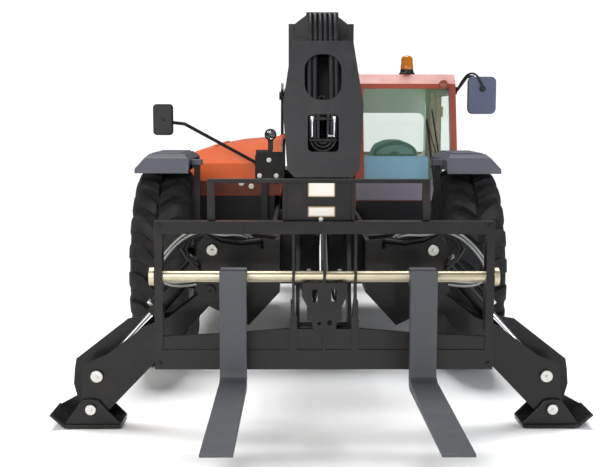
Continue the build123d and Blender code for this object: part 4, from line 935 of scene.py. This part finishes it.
def inset(loop, by):
    """Loop moved towards its middle by a distance, corner by corner."""
    out = []
    for i, here in enumerate(loop):
        before, after = Vector(loop[i - 1]), Vector(loop[(i + 1) % len(loop)])
        p = Vector(here)
        a, b = (p - before).normalized(), (after - p).normalized()
        na, nb = Vector((-a.y, a.x)), Vector((-b.y, b.x))
        split = (na + nb).normalized()
        out.append(tuple(p + split * by / max(0.3, split.dot(na))))
    return out


print("helpers: round_rect, ring_plate, inset")

# %% [markdown]
# ## Hoses over the boom head
# The boom's hoses leave the inner tube, arch over the head's top and drop down inside it. They are bound side by side,
# so they run parallel, and each has a spiral guard that shows as fine ribs. Straight tubes with a bent top would need
# joints, so the ribbed tree is swept round one arc.

# %% Hose arch
ARCH_Y, ARCH_Z, ARCH_RADIUS = -1358, 2204, 141      # centre and radius of the arch
ARCH_HOSES, ARCH_PITCH = 6, 28
ARCH_FROM, ARCH_TO, ARCH_STEPS = -11, 191, 40      # degrees, from the rear over the top


def over_the_head(x):
    """Route of one hose over the head, at a distance from the machine's middle."""
    return [(x, ARCH_Y + ARCH_RADIUS * math.cos(a), ARCH_Z + ARCH_RADIUS * math.sin(a))
            for a in (math.radians(ARCH_FROM + (ARCH_TO - ARCH_FROM) * i / ARCH_STEPS) for i in range(ARCH_STEPS + 1))]


hose("hose_arch", [over_the_head(-70 + ARCH_PITCH * i) for i in range(ARCH_HOSES)], 12.6, "boom_tip", pitch=11, rib=1.4)

# %% [markdown]
# ## Behind the upper opening
# The head's face has an oval opening for servicing the hoses. Behind it four hoses run down in pairs, with two thin
# bright pipes beside them and two small bends at the foot. Only what an eye can see through the opening is made.

# %% Runs, pipes and bends behind the upper opening
HEAD_RUNS = (-76, -46, 46, 76)
hose("hoses_behind_opening", [[(x, -1479, 2165), (x, -1603, 1835)] for x in HEAD_RUNS], 14.2, "boom_tip",
     pitch=14, rib=1.2)
bm = bmesh.new()
for x in (-84, 68):
    bar(bm, at(x, -1524, 1985), at(x, -1575, 1862), 5.5, 12)
piece("bright_tubes_behind_opening", bm, bright_zinc, "boom_tip")
BEND, BEND_Z, BEND_FOOT, BEND_STEPS = 16, 1866, 1840, 14


def small_bend(x, y):
    """Route of a hose that comes up, turns over and goes down again."""
    top = [(x + BEND - BEND * math.cos(a), y, BEND_Z + BEND * math.sin(a))
           for a in (math.pi * i / BEND_STEPS for i in range(BEND_STEPS + 1))]
    return [(x, y, BEND_FOOT)] + top + [(x + 2 * BEND, y, BEND_FOOT)]


hose("small_loops", [small_bend(-24, -1574), small_bend(-8, -1556)], 7, "boom_tip", pitch=8, rib=0.5)

# %% [markdown]
# ## Behind the lower opening
# Three nested loops hang behind the lower opening, the slack that hoses need when a machine works. A loop is half a
# circle between two straight drops, and the three share one centre, so they stay apart all the way round.

# %% Hose loops
LOOP_Y, LOOP_TOP, LOOP_CENTRE, LOOP_STEPS = -1620, 1784, 1650, 30


def loop(x):
    """Route of a hanging loop that is 2x wide."""
    curve = [(x * math.cos(a), LOOP_Y, LOOP_CENTRE - x * math.sin(a))
             for a in (math.pi * i / LOOP_STEPS for i in range(LOOP_STEPS + 1))]
    return [(x, LOOP_Y, LOOP_TOP)] + curve + [(-x, LOOP_Y, LOOP_TOP)]


hose("hose_loops", [loop(x) for x in (28, 49, 70)], 9.8, "boom_tip", pitch=9, rib=0.8)

# %% [markdown]
# ## Elbows and clamps
# Two chromed fittings stand in front of the loops, turned in steps like real ones; one has an elbow at its foot. Two
# black clamp plates with rounded corners hold the loops at top and bottom.

# %% Elbows and clamps
ELBOW_Y = -1648
# distance along the axis and radius, in mm
ELBOW_CAP = ((0, 5), (3, 9), (10, 11), (17, 9.5), (20, 5))
ELBOW_STEM = ((0, 6.5), (6, 8), (6, 5.5), (84, 5.5), (84, 8), (96, 8), (98, 6))
ELBOW_FOOT = ((0, 5.5), (26, 5.5), (26, 8), (34, 8))
bm = bmesh.new()
for x, foot in ((-62, 0), (60, -1)):
    turned(bm, ELBOW_CAP, at(x, ELBOW_Y, 1752), (0, 0, 1), 20)
    turned(bm, ELBOW_STEM, at(x, ELBOW_Y, 1658), (0, 0, 1), 20)
    if foot:
        turned(bm, ELBOW_FOOT, at(x, ELBOW_Y, 1664), (foot, 0, 0), 16)
piece("chromed_elbows", bm, chrome, "boom_tip")
bm = bmesh.new()
for z in (1758, 1640):
    drawn(bm, round_rect((-80, 80), (z - 9, z + 9), 6), "y", -1636, -1609)
piece("loop_clamps", bm, black_steel, "boom_tip", bevel=0.003)

# %% [markdown]
# ## Hoses of the stabilisers
# Each stabiliser is pushed down by a ram. Two guarded hoses lie over the leg's pivot ahead of the mount, and two wider
# loops in braided steel swing out round them. All four stay on the chassis, so they don't stretch when the leg moves.

# %% Hoses over a pivot
def pivot_hoses(hand, side):
    """The guarded pair and the braided pair of one side."""
    guarded = [[(side * x, y, z) for x, y, z in (
        (340, -1634, 1040 + d), (350, -1664, 1062 + d), (450, -1664, 1052 + d), (560, -1664, 1068 + d),
        (660, -1664, 1118 + d), (730, -1664, 1100 + d), (760 + d, -1664, 1040), (740 + d / 2, -1664, 985),
        (694, -1664, 950 - d), (690, -1634, 940 - d))] for d in (0.0, 24.0)]
    hose(f"pivot_hoses_{hand}", guarded, 9.8, "chassis", pitch=9, rib=0.7, straight=True)
    braided = [[(side * x, y, z) for x, y, z in (
        (420 - d, -1630, 1100), (470 - d, -1652, 1118 + d), (560, -1668, 1112 + d), (680, -1672, 1142 + d),
        (800, -1672, 1082 + d), (912 + d, -1668, 945), (900 + d, -1660, 868), (820, -1650, 838 - d),
        (706, -1630, 856 - d))] for d in (0, 22)]
    hose(f"leg_hoses_{hand}", braided, 9, "chassis", braided_steel, pitch=8, rib=0.8)


print("two pairs of hoses over each pivot")

# %% [markdown]
# ## Hose along the ram
# Another hose runs along the barrel, between a port at its top and one near its foot. It belongs to the ram and turns
# with it, so its route is laid out in the ram's own line: so far along it, and so far off it.

# %% Barrel hose and ports
RAM_TOP, RAM_FOOT, RAM_Y = Vector((617, 1028)), Vector((1278, 302)), -1520      # x and z of the two pins, mm
HOSE_OFF = 56                                                                  # mm from the ram's centre line


def barrel_hose(hand, side):
    """Hose and ports of one ram."""
    along = (RAM_FOOT - RAM_TOP).normalized()
    off = Vector((-along.y, along.x)) * HOSE_OFF
    line = [(side * (RAM_TOP + along * d + off).x, RAM_Y, (RAM_TOP + along * d + off).y) for d in (125, 485)]
    hose(f"barrel_hose_{hand}", [line], 9.8, f"ram_{hand}", pitch=9, rib=0.7)
    bm = bmesh.new()
    for d in (130, 480):
        start = RAM_TOP + along * d + off * 0.7
        stop = RAM_TOP + along * d + off * 1.28
        bar(bm, at(side * start.x, RAM_Y, start.y), at(side * stop.x, RAM_Y, stop.y), 15.5, 6)
    piece(f"barrel_ports_{hand}", bm, bright_zinc, f"ram_{hand}", bevel=0.001)


for hand, side in SIDES:
    pivot_hoses(hand, side)
    barrel_hose(hand, side)

# %% [markdown]
# ## Pins
# A pin that joins two welded plates ends in a turned cap with a grease nipple. The caps of rams and feet are bare and
# pale, so they read as dots on the black steel; those of the pivots were sprayed with their legs. A cap rides on the
# body that holds its pin, or it would stay behind when the leg swings.

# %% Pin caps of the stabilisers
# name, x, z, front face, radius, body, finish
PINS = (("pivot", 630, 800, -1643, 31, "leg", black_steel), ("ram_top", 617, 1028, -1643, 31, "ram", bright_zinc),
        ("ram_foot", 1278, 302, -1617, 35, "leg", bright_zinc), ("foot", 1313, 114, -1636, 31, "foot", bright_zinc))
for hand, side in SIDES:
    for name, x, z, front, radius, body, finish in PINS:
        bm = bmesh.new()
        turned(bm, ((-1, radius - 3), (2, radius), (6, radius), (9, radius - 3), (9, 9), (13, 7), (15, 3)),
               at(side * x, front, z), (0, -1, 0), 28)
        piece(f"pin_cap_{name}_{hand}", bm, finish, f"{body}_{hand}")

# %% [markdown]
# ## Hoses under the fork shaft
# The carriage's own hoses hang in short untidy loops between the two middle ribs, in front of the tilt linkage. Each is
# fixed at both ends, so its shape is a plain bow: two ends, how low it hangs, and three depths that keep them apart.

# %% Hanging loops at the carriage
# x and height of one end, x and height of the other, lowest point
BOWS = (((-104, 905), (-40, 885), 792), ((-92, 900), (-18, 880), 742), ((-60, 905), (22, 905), 700),
        ((-22, 890), (66, 905), 690), ((18, 905), (88, 885), 735), ((40, 900), (106, 880), 800),
        ((-118, 880), (-70, 860), 828), ((64, 885), (116, 865), 822))
hanging = []
for i, ((x0, top0), (x1, top1), low) in enumerate(BOWS):
    y = -1972 + 6 * (i % 3)
    hanging.append([(x0, y, top0), (x0 + 4, y, (top0 + low) / 2 + 10), (x0 + 12, y, low), (x1 - 12, y, low - 4),
                    (x1 - 4, y, (top1 + low) / 2), (x1, y, top1)])
hose("carriage_hoses", hanging, 7.5, "carriage", pitch=8, rib=0.8)

# %% [markdown]
# ## Middle rib
# A thin upright plate stands in the middle of the carriage, from the top bar down to the lower sheet, and keeps the
# frame from racking. It is one flame-cut outline, drawn out to the plate's thickness of 12 mm.

# %% Middle rib of the carriage
bm = bmesh.new()
drawn(bm, ((-2013, 1166), (-2013, 560), (-1985, 560), (-1962, 640), (-1962, 1166)), "x", -6, 6)
piece("middle_rib", bm, black_steel, "carriage", bevel=0.003)

# %% [markdown]
# ## Cab lining
# Inside, the cab is lined with a pale grey moulding round the rear window and under the roof, and with a blue-grey
# panel below the window. The real lining is one deep moulding; from outside only its faces show, so it is built as
# plates with soft edges that stand a few millimetres off the steel.

# %% Lining, window seal and ceiling
REAR_WINDOW = round_rect((396, 1073), (1402, 1815), 70)
bm = bmesh.new()
ring_plate(bm, round_rect((382, 1074.5), (1380, 2072), 0.5), REAR_WINDOW, "y", 2496, 2511)
piece("cab_rear_lining", bm, lining_grey, "chassis", bevel=0.003)
bm = bmesh.new()
ring_plate(bm, REAR_WINDOW, inset(REAR_WINDOW, 9), "y", 2490, 2513)
piece("cab_rear_window_seal", bm, lining_grey, "chassis", bevel=0.002)
bm = bmesh.new()
block(bm, (382, 1118), (1372, 2508), (2058, 2073))
block(bm, (440, 1060), (1500, 2400), (2050, 2059))
piece("cab_ceiling", bm, lining_grey, "chassis", bevel=0.006)

# %% [markdown]
# ## Panel below the window
# The panel steps forward in its middle, which stiffens a thin moulding and gives the driver's eye a line to rest on. Two
# blocks in one piece show the step.

# %% Panel below the window
bm = bmesh.new()
block(bm, (382, 1118), (2470, 2512), (700, 1384))
block(bm, (430, 1070), (2458, 2471), (1180, 1350))
piece("cab_rear_panel", bm, lining_blue, "chassis", bevel=0.01)

# %% [markdown]
# ## Cowl and front panel
# Outside, a mauve-grey cowl covers the foot of the windscreen, and a black panel with five ribs covers the pedals. The
# cowl's section bulges, so its outline is drawn from the side and pulled out across the cab.

# %% Cowl and front panel
COWL = ((1012, 1096), (992, 1100), (990, 1196), (1006, 1250), (1024, 1264), (1030, 1258), (1012, 1180))
PANEL_RIBS, RIB_PITCH = 5, 34
bm = bmesh.new()
drawn(bm, COWL, "x", 338, 1162)
piece("cab_cowl", bm, cowl_grey, "chassis", bevel=0.005)
bm = bmesh.new()
block(bm, (340, 1160), (998, 1011), (650, 1092))
for i in range(PANEL_RIBS):
    block(bm, (380, 1120), (992, 999), (1000 - RIB_PITCH * i, 1016 - RIB_PITCH * i))
piece("cab_front_panel", bm, cab_black, "chassis", bevel=0.004)

# %% [markdown]
# ## Dashboard hood
# The dashboard's hood stands close behind the windscreen: a thin blue-grey moulding with a rolled upper edge that
# keeps the sun off the dials. One section drawn across the cab gives both its wall and its lip.

# %% Dashboard hood
DASH_HOOD = ((1070, 1216), (1112, 1428), (1122, 1446), (1150, 1450), (1250, 1432), (1262, 1412), (1262, 1398),
             (1146, 1414), (1130, 1400), (1092, 1216))
bm = bmesh.new()
drawn(bm, DASH_HOOD, "x", 388, 930)
piece("dash_hood", bm, lining_blue, "chassis", bevel=0.006, segments=3)

# %% [markdown]
# ## Seals
# Glass sits in black rubber channels, which draw a dark line round each pane. A channel follows its pane's edge, so
# each is the pane's outline, moved out on one side and in on the other. The door's seal rides on the door.

# %% Seals round the glass
DOOR_EDGE = ((1180, 1215), (2080, 1215), (2080, 1960), (1365, 1960))
SIDE_EDGE = ((1102, 1290), (2430, 1290), (2430, 2000), (1300, 2000))
QUARTER_EDGE = ((2230, 1290), (2450, 1290), (2450, 1990), (2230, 1990))
for name, edge, x, body in (("door_seal", DOOR_EDGE, (1160, 1167), "door"),
                            ("side_seal", SIDE_EDGE, (332, 340), "chassis"),
                            ("quarter_seal", QUARTER_EDGE, (1160, 1167), "chassis")):
    bm = bmesh.new()
    ring_plate(bm, inset(edge, -12), inset(edge, 10), "x", *x)
    piece(name, bm, seal_rubber, body, bevel=0.002)
bm = bmesh.new()
ring_plate(bm, round_rect((393, 1107), (1418, 1942), 30), round_rect((415, 1085), (1440, 1920), 24), "y", 2556, 2563)
piece("rear_window_seal", bm, seal_rubber, "chassis", bevel=0.002)

# %% [markdown]
# ## Wiper
# The wiper parks upright by the outer screen pillar, off the driver's view. It is a motor boss at the foot of the
# screen and three thin bars, arm, blade and spring: at this size a bent wire and a bar look the same.

# %% Wiper
bm = bmesh.new()
turned(bm, ((0, 15), (10, 15), (14, 11), (40, 10), (44, 6)), at(975, 1024, 1186), (0, -1, 0.24), 20)
bar(bm, at(975, 988, 1197), at(915, 1100, 1748), 8.5, 10)
bar(bm, at(1040, 1020, 1260), at(960, 1142, 1830), 6.5, 10)
bar(bm, at(1028, 1030, 1330), at(916, 1101, 1735), 4.0, 8)
piece("wiper", bm, cab_black, "chassis")

# %% [markdown]
# ## Beacon
# A beacon is an amber cap on a black foot, and both are turned shapes. The cap's wall leans in a little, as a moulded
# part must to leave its tool, and its faces blend up to 40 degrees so that the dome looks smooth.

# %% Beacon
BEACON = (780, 1400)      # x and y
CAP = ((0, 51.5), (6, 52.5), (38, 52.5), (44, 49), (90, 48), (106, 40), (116, 22), (119, 5))
bm = bmesh.new()
turned(bm, CAP, at(*BEACON, 2160), (0, 0, 1), 36)
piece("beacon_cap", bm, amber_lens_painted_glow, "chassis", smooth=40)
bm = bmesh.new()
turned(bm, ((0, 66), (10, 66), (20, 56), (42, 54)), at(*BEACON, 2120.5), (0, 0, 1), 36)
piece("beacon_foot", bm, cab_black, "chassis")

# %% [markdown]
# ## Round lamps
# The work light by the hood and the light at the roof's corner have the same build: a rim with a rolled edge and a
# clear domed lens in it. One function draws both, from the radius of the lens.

# %% Work light and corner light
def round_lamp(name, x, y, z, radius, rim):
    """Lamp that looks ahead: its rim and its lens."""
    bm = bmesh.new()
    turned(bm, ((-14, radius + 2), (4, radius + 5), (9, radius + 2), (10, radius - 6), (2, radius - 7), (0, 3)),
           at(x, y, z), (0, -1, 0), 32)
    piece(name + "_rim", bm, rim, "chassis")
    bm = bmesh.new()
    turned(bm, ((3, radius - 7.5), (6, radius - 8), (9, radius * 0.5), (10.5, 2)), at(x, y, z), (0, -1, 0), 32)
    piece(name + "_lens", bm, lens_clear, "chassis", smooth=60)


round_lamp("work_light", -345, 749, 1630, 42, cab_black)
round_lamp("corner_light", 1055, 1168, 2035, 31, cab_orange)
bm = bmesh.new()
turned(bm, ((0, 43), (6, 45), (40, 45), (58, 36), (62, 20)), at(-345, 752, 1630), (0, 1, 0), 32)
piece("work_light_housing", bm, black_steel, "chassis")

# %% [markdown]
# ## Tail lamps
# Each corner of the counterweight carries a row of three lenses, red, amber and clear, side by side in the housing.
# They are flat plates with rounded corners, since the light comes from the colour and not from the form.

# %% Tail lamps
# the amber lens has the beacon cap's painted glow, an emission though the lamp is not lit
LENSES = (("red", 478, 548, lens_red), ("amber", 552, 600, amber_lens_painted_glow), ("clear", 604, 640, lens_clear))
for hand, side in SIDES:
    for name, x0, x1, lens in LENSES:
        bm = bmesh.new()
        drawn(bm, round_rect(sorted((side * x0, side * x1)), (1030, 1120), 10), "y", 4421, 4432)
        piece(f"tail_lamp_{name}_{hand}", bm, lens, "chassis", bevel=0.003)

# %% [markdown]
# ## Mirrors
# A mirror head is a moulded shell with silvered glass on its rear side. The shell is thick with well rounded edges, so
# its bevel has three segments; the glass stands just off it. The left head is larger and hangs from a bent tube.

# %% Mirror heads
# name, x, z, y, shell, corner radius
MIRRORS = (("left", (1217, 1443), (1792, 2088), (926, 976), mirror_shell, 44),
           ("right", (-1233, -1082), (1627, 1863), (566, 616), cab_black, 30))
GLASS_IN = 12      # mm from the shell's edge
for name, x, z, y, shell, corner in MIRRORS:
    bm = bmesh.new()
    drawn(bm, round_rect(x, z, corner), "y", y[0], y[1])
    piece(f"mirror_shell_{name}", bm, shell, "chassis", bevel=0.012, segments=3)
    bm = bmesh.new()
    drawn(bm, round_rect((x[0] + GLASS_IN, x[1] - GLASS_IN), (z[0] + GLASS_IN, z[1] - GLASS_IN), corner - 10), "y",
          y[1] + 4, y[1] + 7)
    piece(f"mirror_glass_{name}", bm, mirror_glass, "chassis", bevel=0.001)

# %% [markdown]
# ## Mirror arm and clamps
# The left arm is a bent tube from the door pillar over the top of the mirror. The hose helper draws it, with ribs of no
# height. Turned clamps hold both heads.

# %% Left arm and clamps
LEFT_ARM = [(1180, 1262, 1988), (1190, 1140, 2040), (1205, 985, 2092), (1225, 912, 2112), (1262, 905, 2112),
            (1300, 912, 2080), (1330, 916, 2010)]
hose("mirror_arm_left", [LEFT_ARM], 8, "chassis", cab_black, pitch=40, rib=0)
bm = bmesh.new()
turned(bm, ((0, 24), (10, 24), (16, 18), (18, 6)), at(1332, 926, 1992), (0, -1, 0), 24)
turned(bm, ((0, 12), (8, 12), (12, 8)), at(-1158, 566, 1745), (0, -1, 0), 20)
piece("mirror_clamps", bm, cab_black, "chassis")

# %% [markdown]
# ## Hood band
# The hood's lower edge is painted shade: a dark red bar with broken edges laid over the hood's front, where the hood
# falls into shade. It rides on the hood, so it opens with the hood.

# %% Hood band
# painted shade: this bar's dark red stands for the shade under the hood's front
bm = bmesh.new()
block(bm, (-1076, -268), (842, 851), (1154, 1262))
piece("hood_band_painted_shade", bm, painted_shade_red, "hood", bevel=0.004)

# %% [markdown]
# ## Bracket
# Beside the hood a black plate with one rounded corner carries the right mirror and the work light. Its outline is
# written corner by corner, with a quarter circle where the plate is rounded, and the screw tree fastens it.

# %% Bracket and its screws
ROUND_X, ROUND_Z, ROUND = -426, 1457, 40
outline = [(-466, 1276)] + [(ROUND_X + ROUND * math.cos(a), ROUND_Z + ROUND * math.sin(a))
                            for a in (math.radians(180 - 15 * i) for i in range(7))] + [(-236, 1497), (-236, 1276)]
bm = bmesh.new()
drawn(bm, outline, "y", 746, 757)
piece("mirror_bracket_plate", bm, black_steel, "chassis", bevel=0.003)
screws("bracket_screws", [(-357, 745, 1432), (-300, 745, 1310), (-430, 745, 1310)], (0, -1, 0), 26, "chassis")
screws("hood_screws", [(-577, 841, 1244), (-499, 841, 1221)], (0, -1, 0), 30, "hood")

# %% [markdown]
# ## Blank plates
# Two plates on the backrest would carry the load chart. They stay blank here: a face of pale vinyl on a thin beige
# frame, two shallow slabs one on the other.

# %% Plates
FRAME_WIDTH = 6
for name, x, z in (("upper", (-87, 54), (1351, 1434)), ("lower", (-87, 55), (1246, 1300))):
    bm = bmesh.new()
    drawn(bm, round_rect(x, z, 5), "y", -1968.2, -1965)
    piece(f"plate_{name}_frame", bm, plate_frame, "carriage")
    bm = bmesh.new()
    drawn(bm, round_rect((x[0] + FRAME_WIDTH, x[1] - FRAME_WIDTH), (z[0] + FRAME_WIDTH, z[1] - FRAME_WIDTH), 3), "y",
          -1969.4, -1967)
    piece(f"plate_{name}_face", bm, label_white, "carriage")

# %% [markdown]
# ## Screws of the carriage
# One bright screw holds the lower plate, and four black ones sit at the corners of the carriage's frame. The black ones
# were sprayed with the frame, so they show only by their shape.

# %% Screws of the carriage
screws("backrest_screws", [(-19, -1967, 1234)], (0, -1, 0), 16, "carriage")
screws("carriage_corner_screws", [(-868, -2016, 1206), (868, -2016, 1206), (-868, -2016, 470), (868, -2016, 470)],
       (0, -1, 0), 20, "carriage", black_steel)

# %% [markdown]
# ## Seat
# The driver's seat is foam under woven cloth. A box with a bevel looks like a brick: foam is highest in the middle and
# pulls in at its corners. So a finely divided cube is pressed towards a rounded form by one formula, a shallow channel
# is drawn along both sides as the stitching does, and a subdivision smooths it.

# %% Seat pads
CUTS, CROWN = 9, 0.55
CHANNEL_AT, CHANNEL_WIDTH, CHANNEL_DEPTH = 0.55, 0.05, 0.05      # shares of the pad's half width


def pad(name, low, high, lean=0.0):
    """Crowned cushion inside a box in mm; lean slides its top back along Y."""
    centre = [(a + b) / 2 for a, b in zip(low, high)]
    half = [(b - a) / 2 for a, b in zip(low, high)]
    power = 2 / (1 - CROWN * 0.6)
    bm = bmesh.new()
    bmesh.ops.create_cube(bm, size=2)
    bmesh.ops.subdivide_edges(bm, edges=bm.edges, cuts=CUTS, use_grid_fill=True)
    for vertex in bm.verts:
        x, y, z = vertex.co
        size = (abs(x) ** power + abs(y) ** power + abs(z) ** power) ** (1 / power)
        big = max(abs(x), abs(y), abs(z))
        u = Vector((x, y, z)) * (big / size) if size else Vector((0, 0, 0))
        channel = 1 - CHANNEL_DEPTH * math.exp(-((abs(u.x) - CHANNEL_AT) / CHANNEL_WIDTH) ** 2)
        vertex.co = at(centre[0] + u.x * half[0], centre[1] + u.y * half[1] * channel + lean * (u.z + 1) / 2,
                       centre[2] + u.z * half[2] * channel)
    made = piece(name, bm, seat_cloth, "chassis", smooth=180)
    made.modifiers.new("round", "SUBSURF").levels = made.modifiers["round"].render_levels = 1
    return made


seat_cushion = pad("seat_cushion", (512, 1804, 934), (988, 2296, 1058))
pad("seat_back", (532, 2206, 1062), (968, 2316, 1562), lean=108)

# %% [markdown]
# ## Seat base
# The seat stands on a sprung base behind a rubber bellows. The bellows are five slabs, every second one a little
# smaller, between a foot and a top plate. Cushion, back and base take the place of the plain seat.

# %% Seat base
BELLOWS, FOLD_HIGH, FOLD_IN = 5, 30, 10
bm = bmesh.new()
block(bm, (545, 955), (1835, 2275), (690, 760))
for i in range(BELLOWS):
    fold = FOLD_IN if i % 2 else 0
    block(bm, (565 + fold, 935 - fold), (1855 + fold, 2255 - fold), (760 + i * FOLD_HIGH, 790 + i * FOLD_HIGH))
block(bm, (540, 960), (1830, 2280), (910, 934))
piece("seat_base", bm, cab_black, "chassis", bevel=0.006)
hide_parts("seat")

# %% [markdown]
# ## Sizes and end
# Last, the size of the dressed machine is printed: width, length and height in metres.

# %% Write the sizes and finish
low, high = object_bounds()
print("machine", [round(b - a, 3) for a, b in zip(low, high)], "m: wide, long, high")
